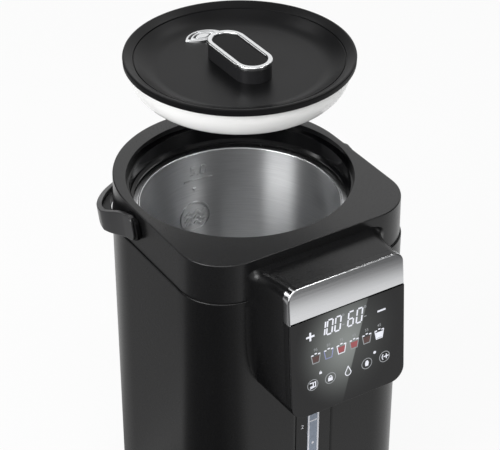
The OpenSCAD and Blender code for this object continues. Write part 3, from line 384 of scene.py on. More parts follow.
round_wall = add_node(tree, "VectorMath", {0: (0, 0, 1), 1: centred}, operation="CROSS_PRODUCT")
up_wall = add_node(tree, "VectorMath", {0: facing, 1: round_wall.outputs[0]},
                   operation="CROSS_PRODUCT")
plug(tree, shader, Base_Color=mix.outputs[2], Roughness=gloss.outputs[0],
     Normal=bump.outputs[0], Tangent=up_wall.outputs[0])

bm = bmesh.new()
outside = LINER_R + LINER_WALL
corner = arc_points(LINER_R - LINER_CORNER, LINER_FLOOR + LINER_CORNER, LINER_CORNER, -90, 0, 9)
bead = arc_points(LINER_R + BEAD_R, FLANGE_TOP + 0.2 - BEAD_R, BEAD_R, 180, 45, 9)
turned(bm, [(0, LINER_FLOOR)] + corner + bead + [
    (outside + 2, FLANGE_TOP), (FLANGE_R, FLANGE_TOP), (FLANGE_R, FLANGE_TOP - LINER_WALL),
    (outside, FLANGE_TOP - LINER_WALL - 0.4), (outside, LINER_FLOOR + LINER_CORNER),
    (outside - 3, LINER_FLOOR + 2), (outside - LINER_CORNER, LINER_FLOOR - 1.2),
    (0, LINER_FLOOR - 1.2)], ROUND_STEPS)
for face in bm.faces:
    face.material_index = face.calc_center_median().z > FLANGE_TOP - LINER_WALL - 0.6

# The bead and flange, rolled smooth
burnished_stainless = grained(
    "burnished_stainless", "d9dadb", (1.5, 0.004, 0.2, 0.3), ("d0d1d3", "e2e3e4", 10), Metallic=1.0)
finish_piece(bm, "drawn_liner", [brushed_stainless, burnished_stainless], "pot",
             ["inner_liner"])

# Pressed stainless disc over the drain
grained(
    "polished_strainer", "cfd0d2", (1.5, 0.006, 0.14, 0.24), ("c6c8ca", "d8d9da", 6), "strainer",
    Metallic=1.0)

# Grey fibres in a loose mat round the liner
grained(
    "needled_felt", "9a9a9b", (0.6, 0.35, 0.9, 1.0), ("87878a", "aaaaaa", 3), "felt_jacket",
    spec=0.2, Sheen_Weight=0.3)

# ---- Level marks ----
# Raised marks on the liner's back wall: the full line under a plain number, a small triangle,
# and a ring round three waves. They are flat drawings, thickened and bent to the wall.
MARK_BEARING = 87.5
MARK_HEIGHT = 1.4
MARK_ROOT = 0.4
FULL_LINE_Z = 287.6
EMBLEM_Z = 249.6
EMBLEM_R = 15.5


def stroke(bm, points, width, tint=0):
    """A line of a width through points in a plane"""
    for (x0, y0), (x1, y1) in zip(points, points[1:]):
        half = hypot(x1 - x0, y1 - y0) / 2 + width * 0.4
        matrix = (Matrix.Translation(((x0 + x1) / 2, (y0 + y1) / 2, 0))
                  @ Matrix.Rotation(atan2(y1 - y0, x1 - x0), 4, "Z")
                  @ Matrix.Diagonal((half, width / 2, 1, 1)))
        made = bmesh.ops.create_grid(bm, x_segments=1, y_segments=1, size=1, matrix=matrix)
        for face in made["verts"][0].link_faces:
            face.material_index = tint


def ring(bm, x, y, radius, width, tint=0):
    """A flat ring with its outer radius"""
    edges = set()
    for r in (radius, radius - width):
        made = bmesh.ops.create_circle(bm, cap_ends=False, radius=r, segments=36,
                                       matrix=Matrix.Translation((x, y, 0)))
        edges.update(e for v in made["verts"] for e in v.link_edges)
    for face in bmesh.ops.bridge_loops(bm, edges=list(edges))["faces"]:
        face.material_index = tint


def patch(bm, points, tint=0):
    bm.faces.new([bm.verts.new((x, y, 0)) for x, y in points]).material_index = tint


def number(bm, figures, height, x, y, tint=0):
    """A plain number of a height, centred on a place"""
    curve = bpy.data.curves.new("figures", "FONT")
    curve.body = figures
    curve.size = height / 0.7
    curve.align_x = "CENTER"
    curve.align_y = "CENTER"
    curve.resolution_u = 4
    lettering = bpy.data.objects.new("figures", curve)
    bpy.context.collection.objects.link(lettering)
    depsgraph = bpy.context.evaluated_depsgraph_get()
    mesh = bpy.data.meshes.new_from_object(lettering.evaluated_get(depsgraph))
    bpy.data.objects.remove(lettering)
    bpy.data.curves.remove(curve)
    mesh.transform(Matrix.Translation((x, y, 0)))
    before = set(bm.faces)
    bm.from_mesh(mesh)
    bpy.data.meshes.remove(mesh)
    for face in set(bm.faces) - before:
        face.material_index = tint


def thicken(bm, depth):
    """Turns flat shapes into closed ones that stand a depth proud"""
    bmesh.ops.remove_doubles(bm, verts=bm.verts, dist=1e-5)
    made = bmesh.ops.extrude_face_region(bm, geom=bm.faces[:])
    raised = [g for g in made["geom"] if isinstance(g, bmesh.types.BMVert)]
    bmesh.ops.translate(bm, verts=raised, vec=(0, 0, depth))
    face_out(bm)


bm = bmesh.new()
stroke(bm, [(x, FULL_LINE_Z) for x in range(-10, 18, 3)], 1.3)
number(bm, "5.0", 10, 4, FULL_LINE_Z + 8.5)
patch(bm, [(-1.6, FULL_LINE_Z - 8), (1.6, FULL_LINE_Z - 8), (0, FULL_LINE_Z - 10.8)])
ring(bm, 0, EMBLEM_Z, EMBLEM_R, 1.4)
for low in (-7, -1.5, 4):
    stroke(bm, [(x, EMBLEM_Z + low + 1.6 * sin(x * 0.8)) for x in range(-10, 11)], 1.5)
thicken(bm, MARK_HEIGHT + MARK_ROOT)
for vert in bm.verts:
    turn = radians(MARK_BEARING) - vert.co.x / LINER_R
    reach = LINER_R + MARK_ROOT - vert.co.z
    vert.co = (reach * cos(turn), reach * sin(turn), vert.co.y)
face_out(bm)
finish_piece(bm, "level_marks", [brushed_stainless], "pot", edge=0.5)

# ---- Pump, hoses and riser ----
# A magnetic pump under the drain pushes water through silicone hoses to a glass riser tube,
# past a ball that closes if the pot tips, and on to the spout.

# Soft translucent hose and seals
grained(
    "milky_silicone", "dfe2e3", (1.2, 0.02, 0.3, 0.45), ("d8dcde", "e6e8e8", 15), "inlet_hose",
    "delivery_hose", "spout_pipe", spec=0.4, Subsurface_Weight=0.2,
    Subsurface_Scale=0.003)

# Dark magnet with a dry, pitted skin
grained(
    "sintered_ferrite", "3a3a3d", (0.7, 0.05, 0.55, 0.75), ("353538", "45454a", 6), "drive_magnet",
    Metallic=0.6)

# Clear glass with faint draw lines
grained(
    "borosilicate_tube", "eef4f6", (3, 0.004, 0.03, 0.08), ("e8f0f2", "f4f8f8", 25), "gauge_tube",
    Transmission_Weight=0.85, IOR=1.47)

# ---- Power board ----
# The board stands on the base pan with its transformer and relay. Leads join it to the rear
# inlet, and a grey cable to the display board.

# Green solder mask over faint copper tracks 2.5 mm apart
lacquered_board, tree, shader = new_material("lacquered_board", "164d2b", Coat_Weight=0.3)
place = add_node(tree, "TexCoord").outputs["Object"]
tracks = add_node(tree, "TexBrick", {
    "Color1": to_linear("174f2c"), "Color2": to_linear("1b5a32"), "Mortar": to_linear("2f7547"),
    "Scale": 1.0, "Mortar Size": 0.3 * MM, "Brick Width": 7.5 * MM, "Row Height": 2.5 * MM,
    "Vector": place})
plug(tree, shader, Base_Color=tracks.outputs["Color"])
add_grain(tree, shader, 1.5, 0.01, 0.25, 0.4)
dress(lacquered_board, "display_board", "power_board")

# Yellow polyester tape in laps 3 mm wide over the coil
taped_winding, tree, shader = new_material("taped_winding", "c99a2c")
place = add_node(tree, "TexCoord").outputs["Object"]
laps = add_node(tree, "TexWave", {"Vector": place, "Scale": 1 / (3 * MM) / 3.14},
                bands_direction="Z", wave_profile="SAW").outputs["Fac"]
add_grain(tree, shader, 2, 0.01, 0.25, 0.4)
add_tint(tree, shader, "c2912a", "d3a63c", 8)
bump = add_node(tree, "Bump", {"Height": laps, "Strength": 0.7, "Distance": 0.1 * MM})
plug(tree, shader, Normal=bump.outputs[0])
dress(taped_winding, "transformer")

# Glossy blue polyester
grained("moulded_relay_case", "1d3f8c", (1, 0.015, 0.2, 0.32), ("1a3a84", "224797", 6), "relay")

# Plain brown and grey vinyl, slightly waxy
grained(
    "wire_insulation", "5a3420", (1.2, 0.02, 0.35, 0.5), ("54301d", "633b26", 8), "mains_leads",
    spec=0.4)
grained(
    "grey_sheath", "3c3c3f", (1.2, 0.02, 0.35, 0.5), ("38383b", "454548", 8), "display_cable",
    spec=0.4)
dress(moulded_polypropylene, "power_inlet")

# ---- Outer shell ----
# One moulded black sleeve with flat sides and front, two rounded front corners and a round
# back. A slot for the level gauge is cut in its front.
BODY_HALF = 103.7
BODY_FRONT = 116.6
BACK_OFFSET = 9.6
CORNER_R = 41.7
SHELL_FOOT = 14
SEAM_Z = 304.5
GAUGE_HALF = 17.3
GAUGE_FOOT = 46
GAUGE_TOP = 213.7
SLOT_GAP = 0.2
SHELL_WALL = 2.4
STRAIGHT_CUTS = 23
LONG_SIDE = 20
CORNER_STEPS = 16
BACK_STEPS = 46


def rounded_loop(bm, x_half, low, high, low_r, high_r, low_steps, high_steps, matrix):
    """Edges of a rectangle with rounded corners in a plane: x across, y from low to high"""
    corners = [bm.verts.new(place) for place in (
        (-x_half, low, 0), (x_half, low, 0), (x_half, high, 0), (-x_half, high, 0))]
    bm.faces.new(corners)
    for pair, radius, steps in ((corners[:2], low_r, low_steps),
                                (corners[2:], high_r, high_steps)):
        made = bmesh.ops.bevel(bm, geom=pair, offset=radius, offset_type="OFFSET",
                               segments=steps, profile=0.5, affect="VERTICES", material=-1)
    face = made["verts"][0].link_faces[0]
    edges = list(face.edges)
    bmesh.ops.transform(bm, matrix=matrix, verts=face.verts)
    bmesh.ops.delete(bm, geom=[face], context="FACES_ONLY")
    return edges


def divided(bm, edges):
    """Cuts a loop's long straight sides into short edges"""
    made = bmesh.ops.subdivide_edges(bm, cuts=STRAIGHT_CUTS,
                                     edges=[e for e in edges if e.calc_length() > LONG_SIDE])
    return list(set(edges + [g for g in made["geom"] if isinstance(g, bmesh.types.BMEdge)]))


def body_outline(bm, inset, z):
    """The body's outline moved in by a distance, with its straight sides in short edges"""
    half = BODY_HALF - inset
    return divided(bm, rounded_loop(
        bm, half, inset - BODY_FRONT, BACK_OFFSET + half, CORNER_R - inset, half - 0.01,
        CORNER_STEPS, BACK_STEPS, Matrix.Translation((0, 0, z))))


def bridge(bm, rings):
    """Joins each ring of edges to the next one with faces"""
    for first, second in zip(rings, rings[1:]):
        bmesh.ops.bridge_loops(bm, edges=first + second)


def close_round(bm):
    """Joins the last ring of a section to its first"""
    bmesh.ops.bridge_loops(bm, edges=[e for e in bm.edges if e.is_boundary])
    face_out(bm)


def close_ends(bm):
    bmesh.ops.holes_fill(bm, edges=[e for e in bm.edges if e.is_boundary], sides=0)
    face_out(bm)


# Nearly black, even, with a faint fine texture that softens reflections
satin_abs = grained(
    "satin_abs", "0d0d0e", (0.8, 0.01, 0.24, 0.33), ("0c0c0d", "0e0e0f", 60), spec=0.32)

bm = bmesh.new()
bridge(bm, [body_outline(bm, inset, z) for inset, z in (
    (1.2, SHELL_FOOT), (0.35, SHELL_FOOT + 0.35), (0, SHELL_FOOT + 1.2), (0, GAUGE_FOOT),
    (0, GAUGE_TOP), (0, SEAM_Z - 1.2), (0.15, SEAM_Z - 0.6), (0.6, SEAM_Z - 0.15),
    (1.25, SEAM_Z))])
face_out(bm)
for x in (-GAUGE_HALF - SLOT_GAP, GAUGE_HALF + SLOT_GAP):
    front = [f for f in bm.faces if f.calc_center_median().y < 0.1 - BODY_FRONT]
    bmesh.ops.bisect_plane(bm, geom=front + list({e for f in front for e in f.edges}),
                           plane_co=(x, 0, 0), plane_no=(1, 0, 0), dist=MERGE)
slot_faces = [f for f in bm.faces if f.calc_center_median().y < 0.1 - BODY_FRONT
              and abs(f.calc_center_median().x) < GAUGE_HALF
              and GAUGE_FOOT < f.calc_center_median().z < GAUGE_TOP]
bmesh.ops.delete(bm, geom=slot_faces, context="FACES")
finish_piece(bm, "outer_sleeve", [satin_abs], "pot", ["outer_shell"], wall=SHELL_WALL)

# ---- Level gauge ----
# A black strip fills the slot and carries a pale window in front of the riser tube. White
# edges, litre lines, half-litre dots and plain numbers are printed on it.
WINDOW_HALF = 5.7
WINDOW_FOOT = 58
WINDOW_TOP = 205.7
LITRE = 49
INK = 0.06
STRIP_DEPTH = 2.4
PANE_DEPTH = 2.2
PANE_PROUD = 0.2
STRIP_PLANE = Matrix.Translation((0, -BODY_FRONT - 0.3, 0)) @ Matrix.Rotation(pi / 2, 4, "X")


def lifted(plane, rise):
    return plane @ Matrix.Translation((0, 0, rise))


# Gloss black mouldings that mirror what is round them
polished_abs = grained(
    "polished_abs", "070708", (2.5, 0.01, 0.1, 0.16), ("08080a", "0c0c0d", 30), spec=0.25)

bm = bmesh.new()
rim = (GAUGE_HALF, GAUGE_FOOT, GAUGE_TOP)
opening = (WINDOW_HALF + 0.1, WINDOW_FOOT - 0.1, WINDOW_TOP + 0.1)
bridge(bm, [rounded_loop(bm, *sides, 1, 1, 3, 3, lifted(STRIP_PLANE, rise)) for sides, rise in (
    (opening, -STRIP_DEPTH), (rim, -STRIP_DEPTH), (rim, 0), (opening, 0))])
close_round(bm)
finish_piece(bm, "gauge_strip", [satin_abs], "pot", ["gauge_panel"], edge=0.25)

# Pale blue-grey window with a soft depth
tinted_acrylic = grained(
    "tinted_acrylic", "7d8796", (5, 0.01, 0.1, 0.2), ("76808f", "8590a0", 18), Coat_Weight=0.3,
    spec=0.4)

bm = bmesh.new()
bridge(bm, [rounded_loop(bm, WINDOW_HALF, WINDOW_FOOT, WINDOW_TOP, 1, 1, 3, 3,
                         lifted(STRIP_PLANE, rise)) for rise in (-PANE_DEPTH, PANE_PROUD)])
close_ends(bm)
finish_piece(bm, "gauge_pane", [tinted_acrylic], "pot", ["gauge_window"], edge=0.3)

# Thin opaque ink with small pinholes
screen_print_white = grained(
    "screen_print_white", "dcdde2", (0.5, 0.01, 0.4, 0.5), ("d2d3da", "e4e5ea", 4))

bm = bmesh.new()
for side in (-1, 1):
    edge = side * (WINDOW_HALF - 0.95)
    stroke(bm, [(edge, WINDOW_FOOT + 1.2), (edge, WINDOW_TOP - 1.2)], 1.6)
for litres in (1, 2):
    height = WINDOW_FOOT + litres * LITRE
    stroke(bm, [(-3, height), (3, height)], 1.0)
    number(bm, str(litres), 4, -11, height - 3)
for halves in (1, 3, 5):
    ring(bm, -0.3, WINDOW_FOOT + halves * LITRE / 2, 1.2, 1.15)
thicken(bm, INK)
for vert in bm.verts:
    vert.co.z += PANE_PROUD if abs(vert.co.x) < WINDOW_HALF else 0
move(bm, STRIP_PLANE)
finish_piece(bm, "gauge_prints", [screen_print_white], "pot")

# ---- Top collar ----
# A moulded black collar closes the body. Its round mouth steps down over a ledge to a polished
# throat with a lip at its foot, and its sides lean in a little so that it leaves its mould.
COLLAR_TOP = 340
COLLAR_INSET = 1.3
COLLAR_LEAN = 0.4
COLLAR_WALL = 2.4
COLLAR_ROOF = 2.6
LEDGE_UNDER = 8.9
MOUTH_R = 95.5
LEDGE_Z = 333.5
THROAT_R = 92.3
THROAT_FOOT = 315.1
LIP_R = 89.8


def mouth_edges(bm, radius, z):
    """A circle whose points each face one point of the body's outline"""
    edges = body_outline(bm, 0, z)
    for vert in {v for e in edges for v in e.verts}:
        vert.co.xy = vert.co.xy.normalized() * radius
    return edges


# Satin black like the sleeve, a touch lighter
collar_abs = grained(
    "collar_abs", "111112", (0.8, 0.01, 0.24, 0.33), ("101011", "131314", 60), spec=0.46)

bm = bmesh.new()
side = COLLAR_INSET + COLLAR_LEAN
outside = [(COLLAR_INSET, SEAM_Z), (side, COLLAR_TOP - 1), (side + 0.13, COLLAR_TOP - 0.5),
           (side + 0.5, COLLAR_TOP - 0.13), (side + 1, COLLAR_TOP)]
mouth = [(MOUTH_R + 0.6, COLLAR_TOP), (MOUTH_R + 0.18, COLLAR_TOP - 0.18),
         (MOUTH_R, COLLAR_TOP - 0.6), (MOUTH_R, LEDGE_Z), (THROAT_R + 0.6, LEDGE_Z),
         (THROAT_R, LEDGE_Z - 0.6), (THROAT_R, THROAT_FOOT + 4), (LIP_R, THROAT_FOOT + 2.4),
         (LIP_R + 0.4, THROAT_FOOT + 0.6), (THROAT_R + COLLAR_WALL, THROAT_FOOT),
         (THROAT_R + COLLAR_WALL, COLLAR_TOP - LEDGE_UNDER),
         (MOUTH_R + COLLAR_WALL, COLLAR_TOP - LEDGE_UNDER),
         (MOUTH_R + COLLAR_WALL, COLLAR_TOP - COLLAR_ROOF)]
inside = [(side + COLLAR_WALL, COLLAR_TOP - COLLAR_ROOF), (COLLAR_INSET + COLLAR_WALL, SEAM_Z)]
bridge(bm, [body_outline(bm, *at) for at in outside] + [mouth_edges(bm, *at) for at in mouth]
       + [body_outline(bm, *at) for at in inside])
close_round(bm)
for face in bm.faces:
    middle = face.calc_center_median()
    if hypot(middle.x, middle.y) < MOUTH_R + 0.1 and middle.z < COLLAR_TOP - 0.1:
        face.material_index = 1
finish_piece(bm, "mouth_collar", [collar_abs, polished_abs], "pot", ["top_collar"])
dress(moulded_rubber, "collar_gasket", "lid_seal")

# ---- Handle ----
# The bail is a matt black core that lies round the back, thicker where it bends clear of the
# body, with a satin cover over its outside and top. Its ends turn on round hubs on the collar.
# The core's near-black inner web, where it bends clear, is painted shade that fills the gap behind
# the handle.
PIVOT_Z = 324
HANDLE_HALF = 108.2
STRAP_T = 4.6
ARM_END = -14.5
PLATE_END = -9.5
GRIP_R = 116
GRIP_START = 23
HANDLE_REACH = 12
END_HALF = 10.5
GRIP_HALF = 6
END_ROUND = 6
GRIP_STEPS = 48
TILT = radians(17)

# Satin black, a touch lighter than the body
handle_abs = grained(
    "handle_abs", "2b2b2c", (0.8, 0.012, 0.28, 0.36), ("29292a", "2e2e2f", 40), spec=0.6)

# A black moulding, matt and far darker than the cover: the real black core, with painted shade for
# the gap behind the handle
shaded_core_abs = grained(
    "shaded_core_abs", "050506", (0.8, 0.012, 0.4, 0.5), ("040405", "070708", 40), spec=0.12)


def past(value, start, length):
    """How far a value has come from a start, as a share of a length, from 0 to 1"""
    return min(max((value - start) / length, 0), 1)


def carry_section(bm, section, start, tint):
    """Carries a section of (outward, up) points round the handle from one end to the other.
    Points that reach inward come out only where the handle bends clear of the body."""
    bends = [(HANDLE_HALF, start + s, 0) for s in (0, 0.5, 1.4, 2.8, 4.6, 6)]
    bends += [(HANDLE_HALF, 4, 0), (HANDLE_HALF, 8, -3), (HANDLE_HALF + 1.2, 15, -12),
              (HANDLE_HALF + 3.4, 22, -14), (HANDLE_HALF + 4.9, 28, -10)]
    first = degrees(asin(GRIP_START / GRIP_R))
    grip = arc_points(0, HANDLE_REACH, GRIP_R, first, 180 - first, GRIP_STEPS)
    path = bends + [(x, y, first + (180 - 2 * first) * step / GRIP_STEPS)
                    for step, (x, y) in enumerate(grip)]
    path += [(-x, y, 180 - a) for x, y, a in reversed(bends)]
    rings = []
    for x, y, angle in path:
        half = END_HALF + (GRIP_HALF - END_HALF) * past(y, 14, 56)
        if y < start + END_ROUND:
            short = start + END_ROUND - y
            half = END_HALF - END_ROUND + sqrt(max(END_ROUND ** 2 - short ** 2, 0))
        clear = past(y, 10, 12) + 0.75 * past(y, 28, 15)
        clear *= past(100 - y, 0, 30)
        loop = [bm.verts.new((u * (clear if u < 0 else 1) - STRAP_T, 0, w * half / END_HALF))
                for u, w in section]
        bmesh.ops.rotate(bm, verts=loop, cent=(0, 0, 0),
                         matrix=Matrix.Rotation(radians(angle), 3, "Z"))
        bmesh.ops.translate(bm, verts=loop, vec=(x, y, 0))
        rings.append([bm.edges.new(pair) for pair in zip(loop, loop[1:] + loop[:1])])
    before = set(bm.faces)
    bridge(bm, rings)
    for face in set(bm.faces) - before:
        face.material_index = tint


bm = bmesh.new()
# The core is near black, and its inward web fills the gap under the bend: painted shade
carry_section(bm, [(-4, -10.5), (3.2, -10.5), (3.2, 8.7), (0, 8.7), (0, 3), (-4, 1)],
              ARM_END, 1)
carry_section(bm, [(3.4, -10.2), (4.1, -10.5), (4.6, -9.8), (4.6, 9.4), (4.2, 10.2),
                   (3.5, 10.5), (0.6, 10.5), (0, 10), (0, 9), (3.4, 9)], PLATE_END, 0)
close_ends(bm)
bmesh.ops.rotate(bm, verts=bm.verts, cent=(0, 0, 0), matrix=Matrix.Rotation(-TILT, 3, "X"))
bmesh.ops.translate(bm, verts=bm.verts, vec=(0, 0, PIVOT_Z))
finish_piece(bm, "handle_strap", [handle_abs, shaded_core_abs], "handle", ["handle"],
             edge=0.25)
dress(polished_abs, "left_hub", "right_hub")

# ---- Control housing ----
# A hollow black housing stands out from the front. Its sides run into the sleeve in a hollow
# curve, and its face leans back a little.
PANEL_HALF = 54.5
PANEL_H = 121
PANEL_REACH = 166.8
PANEL_FOOT = 212.5
PANEL_LEAN = 4.1
PANEL_LOW_R = 13
PANEL_TOP_R = 10
BAND_LOW = 90.5
BAND_RETURN = 8.4
GLASS_T = 2
PANEL_STEPS = 12
ROOT_HALF = 57
ROOT_LOW = 214
ROOT_TOP = 331
ROOT_CURVE = 8.8
ROOT_ANGLE = 77
ROOT_SPREAD = 2.5
ROOT_TAPER = 57
ROOT_SINK = 0.5
ROOT_MERGE = 0.3
LEAST_FLARE = 0.04
PANEL_PLANE = Matrix.Translation((0, -PANEL_REACH, PANEL_FOOT)) @ Matrix.Rotation(
    radians(90 - PANEL_LEAN), 4, "X")
ROOT_PLANE = Matrix.Translation((0, -BODY_FRONT, 0)) @ Matrix.Rotation(pi / 2, 4, "X")


def rounded_panel(bm, plane, half, low, high, low_r, top_r, depth):
    return rounded_loop(bm, half, low, high, low_r, top_r, PANEL_STEPS, PANEL_STEPS,
                        lifted(plane, depth))


def neck_loop(bm, along, flare, out):
    """The housing's outline at a share of the way from its face to its root, widened by a
    flare that fades out at its foot and wraps the body's rounded corner"""
    plane = lifted(PANEL_PLANE, -BAND_RETURN - 0.1).lerp(lifted(ROOT_PLANE, out), along)
    low, top = ROOT_LOW * along, PANEL_H + (ROOT_TOP - PANEL_H) * along
    half = PANEL_HALF + (ROOT_HALF - PANEL_HALF) * along
    edges = divided(bm, rounded_panel(bm, plane, half, low, top, PANEL_LOW_R, PANEL_TOP_R, 0))
    for vert in {v for e in edges for v in e.verts}:
        up = past(vert.co.z, ROOT_LOW + PANEL_LOW_R, ROOT_TAPER)
        share = max(sqrt(1 - (1 - up) ** 2), LEAST_FLARE)
        vert.co.x *= 1 + flare * share / half
        if along == 1:
            vert.co.y += out * (1 - share)
            corner = max(abs(vert.co.x) - (BODY_HALF - CORNER_R), 0)
            vert.co.y += CORNER_R - sqrt(CORNER_R ** 2 - corner ** 2)
            vert.co.y += COLLAR_INSET + COLLAR_LEAN if vert.co.z > SEAM_Z else 0
    return edges


bm = bmesh.new()
join = sin(radians(ROOT_ANGLE)) * ROOT_CURVE
join_out = (1 - cos(radians(ROOT_ANGLE))) * ROOT_CURVE
rings = [neck_loop(bm, step, ROOT_SPREAD * step * step, join_out) for step in (
    0, 0.25, 0.5, 0.75)]
rings += [neck_loop(bm, 1, ROOT_SPREAD + join - ROOT_CURVE * sin(radians(angle)),
                    ROOT_CURVE * (1 - cos(radians(angle))))
          for angle in range(ROOT_ANGLE, -1, -7)]
for vert in {v for e in rings[-1] for v in e.verts}:
    vert.co.y += ROOT_SINK
bridge(bm, rings)
bmesh.ops.remove_doubles(bm, verts=bm.verts, dist=ROOT_MERGE)
close_ends(bm)
bridge(bm, [rounded_panel(bm, PANEL_PLANE, PANEL_HALF, 0, BAND_LOW, PANEL_LOW_R, 0.4, depth)
            for depth in (-BAND_RETURN - 0.1, -GLASS_T)])
close_ends(bm)
finish_piece(bm, "housing_cover", [satin_abs], "pot", ["control_housing"],
             edge=0.4)

# White plastic round the lit symbols
grained(
    "moulded_display_frame", "dedede", (1, 0.02, 0.4, 0.5), ("d8d8d8", "e4e4e4", 15),
    "display_module")

# ---- Metal band ----
# A brushed stainless band wraps the housing's top edge and is left bare. It is bonded on, its
# edges are rounded over, its face curves back a little, and its top flange takes the black satin
# material.
BAND_CROWN = 1.4
BAND_EDGE = 1.3
BAND_ROW = 3.8
BLACK_FLANGE_ABOVE = 9

# Brush lines along the band, drawn about 0.6 mm wide, under clear lacquer
brushed_band, tree, shader = new_material("brushed_band", "d0d1d3", Metallic=1.0, Anisotropic=0.4)
place = add_node(tree, "TexCoord").outputs["Object"]
stretched = add_node(tree, "Mapping", {
    "Vector": place, "Scale": (1 / (120 * MM), 1 / (0.6 * MM), 1 / (0.6 * MM))})
lines = add_node(tree, "TexNoise", {
    "Vector": stretched.outputs[0], "Scale": 1.0, "Detail": 3.0}).outputs["Fac"]
mix = add_node(tree, "Mix", {0: lines, 6: to_linear("dcdde0"), 7: to_linear("edeeef")},
               data_type="RGBA")
gloss = add_node(tree, "MapRange", {"Value": lines, "To Min": 0.11, "To Max": 0.16})
upright = add_node(tree, "CombineXYZ", {"Z": 1.0})
plug(tree, shader, Base_Color=mix.outputs[2], Roughness=gloss.outputs[0],
     Tangent=upright.outputs[0])

bm = bmesh.new()
bridge(bm, [rounded_panel(bm, Matrix(), PANEL_HALF, BAND_LOW + 0.1, PANEL_H, 0.3,
                          PANEL_TOP_R, depth) for depth in (-BAND_RETURN, 0)])
close_ends(bm)
for step in range(1, 8):
    bmesh.ops.bisect_plane(bm, geom=bm.verts[:] + bm.edges[:] + bm.faces[:], dist=MERGE,
                           plane_co=(0, BAND_LOW + BAND_ROW * step, 0), plane_no=(0, 1, 0))
rim = [e for e in bm.edges if all(v.co.z > -0.1 for v in e.verts)
       and any(abs(f.normal.z) < 0.5 for f in e.link_faces)]
bmesh.ops.bevel(bm, geom=rim, offset=BAND_EDGE, offset_type="OFFSET", segments=4, profile=0.5,
                affect="EDGES", material=-1)
for vert in bm.verts:
    lean = BAND_CROWN * ((vert.co.y - BAND_LOW) / (PANEL_H - BAND_LOW)) ** 2
    vert.co.z -= lean * (1 + vert.co.z / BAND_RETURN)
for face in bm.faces:
    middle = face.calc_center_median()
    face.material_index = face.normal.y > 0.9 and middle.y > BAND_LOW + BLACK_FLANGE_ABOVE
move(bm, PANEL_PLANE)
finish_piece(bm, "metal_band", [brushed_band, satin_abs], "pot", ["trim_band"])

# ---- Glass panel ----
# Toughened glass, printed black on its back, is bonded to the housing. The lit symbols shine
# through it. A soft patch of emission that ends at a slanting edge is a painted reflection on the
# glass.
PAINTED_GLOW_Z = 269.5
PAINTED_GLOW_HALF = 52
PAINTED_GLOW_HEIGHT = 62
PAINTED_GLOW_SLANT = 0.285
PAINTED_GLOW_EDGE = -67.4

# Deep black under a clear polished face
black_backed_glass, tree, shader = new_material(
    "black_backed_glass", "0a0a0b", spec=0.35, Emission_Color=to_linear("e9f0ec"))
add_grain(tree, shader, 12, 0.003, 0.05, 0.09)
add_tint(tree, shader, "09090a", "0e0e10", 30)
# Painted reflection: a soft glow of emission over the glass, cut off along a slanting line
place = add_node(tree, "TexCoord").outputs["Object"]
spot = add_node(tree, "Mapping", {
    "Vector": place, "Location": (0, 0, -PAINTED_GLOW_Z / PAINTED_GLOW_HEIGHT),
    "Scale": (1 / (PAINTED_GLOW_HALF * MM), 0, 1 / (PAINTED_GLOW_HEIGHT * MM))})
painted_glow = add_node(tree, "TexGradient", {"Vector": spot.outputs[0]}, gradient_type="SPHERICAL")
soft = add_node(tree, "MapRange", {"Value": painted_glow.outputs["Fac"], "To Min": 0, "To Max": 0.27},
                interpolation_type="SMOOTHSTEP")
slant = add_node(tree, "VectorMath", {0: place, 1: (1 / MM, 0, -PAINTED_GLOW_SLANT / MM)},
                 operation="DOT_PRODUCT")
beyond = add_node(tree, "MapRange", {
    "Value": slant.outputs["Value"], "From Min": PAINTED_GLOW_EDGE, "From Max": PAINTED_GLOW_EDGE + 1,
    "To Min": 1, "To Max": 0.2})
strength = add_node(tree, "Math", {0: soft.outputs[0], 1: beyond.outputs[0]},
                    operation="MULTIPLY")
plug(tree, shader, Emission_Strength=strength.outputs[0])

bm = bmesh.new()
bridge(bm, [rounded_panel(bm, PANEL_PLANE, PANEL_HALF, 0, BAND_LOW, PANEL_LOW_R, 0.3, depth)
            for depth in (-GLASS_T, 0)])
close_ends(bm)
finish_piece(bm, "glass_front", [black_backed_glass], "pot", ["panel_glass"],
             edge=0.35)


# ---- Lit symbols ----
# Touch keys and the display are masks on the glass's back with lamps behind them: two
# temperatures in segment figures, six cup keys, four round keys, a drop, plus and minus.
def lit_mask(name, colour, strength):
    """Light through a printed mask, a little uneven from the lamp behind it"""
    material, tree, shader = new_material(name, "202020", Emission_Color=to_linear(colour))
    place = add_node(tree, "TexCoord").outputs["Object"]
    glimmer = add_node(tree, "TexNoise", {"Vector": place, "Scale": 1 / (6 * MM)})
    level = add_node(tree, "MapRange", {
        "Value": glimmer.outputs["Fac"], "To Min": strength * 0.8, "To Max": strength * 1.2})
    plug(tree, shader, Emission_Strength=level.outputs[0])
    return material


LIT = [lit_mask("white_lamp_mask", "f4f6ff", 0.95), lit_mask("red_lamp_mask", "b0575c", 0.7),
       lit_mask("brown_lamp_mask", "6f4c48", 0.5), lit_mask("blue_lamp_mask", "9298c4", 0.9),
       lit_mask("dim_lamp_mask", "b9bcc0", 0.6)]
WHITE, RED, BROWN, BLUE, DIM = range(5)
SEGMENTS = {"0": "abcdef", "1": "bc", "6": "acdefg"}
DIGIT_H = 13
DIGIT_W = 5
DIGIT_LOW = 70.7
DIGIT_SLANT = 1.6
BAR_W = 1.3
BAR_GAP = 1.1
MASK_H = 0.08


def segment_figure(bm, figure, x):
    """A slanting figure of up to seven bars, a being the top and g the middle"""
    places = {"a": ((0, 1), (1, 1)), "b": ((1, 1), (1, 0.5)), "c": ((1, 0.5), (1, 0)),
              "d": ((0, 0), (1, 0)), "e": ((0, 0.5), (0, 0)), "f": ((0, 1), (0, 0.5)),
              "g": ((0, 0.5), (1, 0.5))}
    for bar in SEGMENTS[figure]:
        ends = [Vector((x + u * DIGIT_W + v * DIGIT_SLANT, DIGIT_LOW + v * DIGIT_H))
                for u, v in places[bar]]
        along = (ends[1] - ends[0]).normalized() * BAR_GAP
        stroke(bm, [ends[0] + along, ends[1] - along], BAR_W)


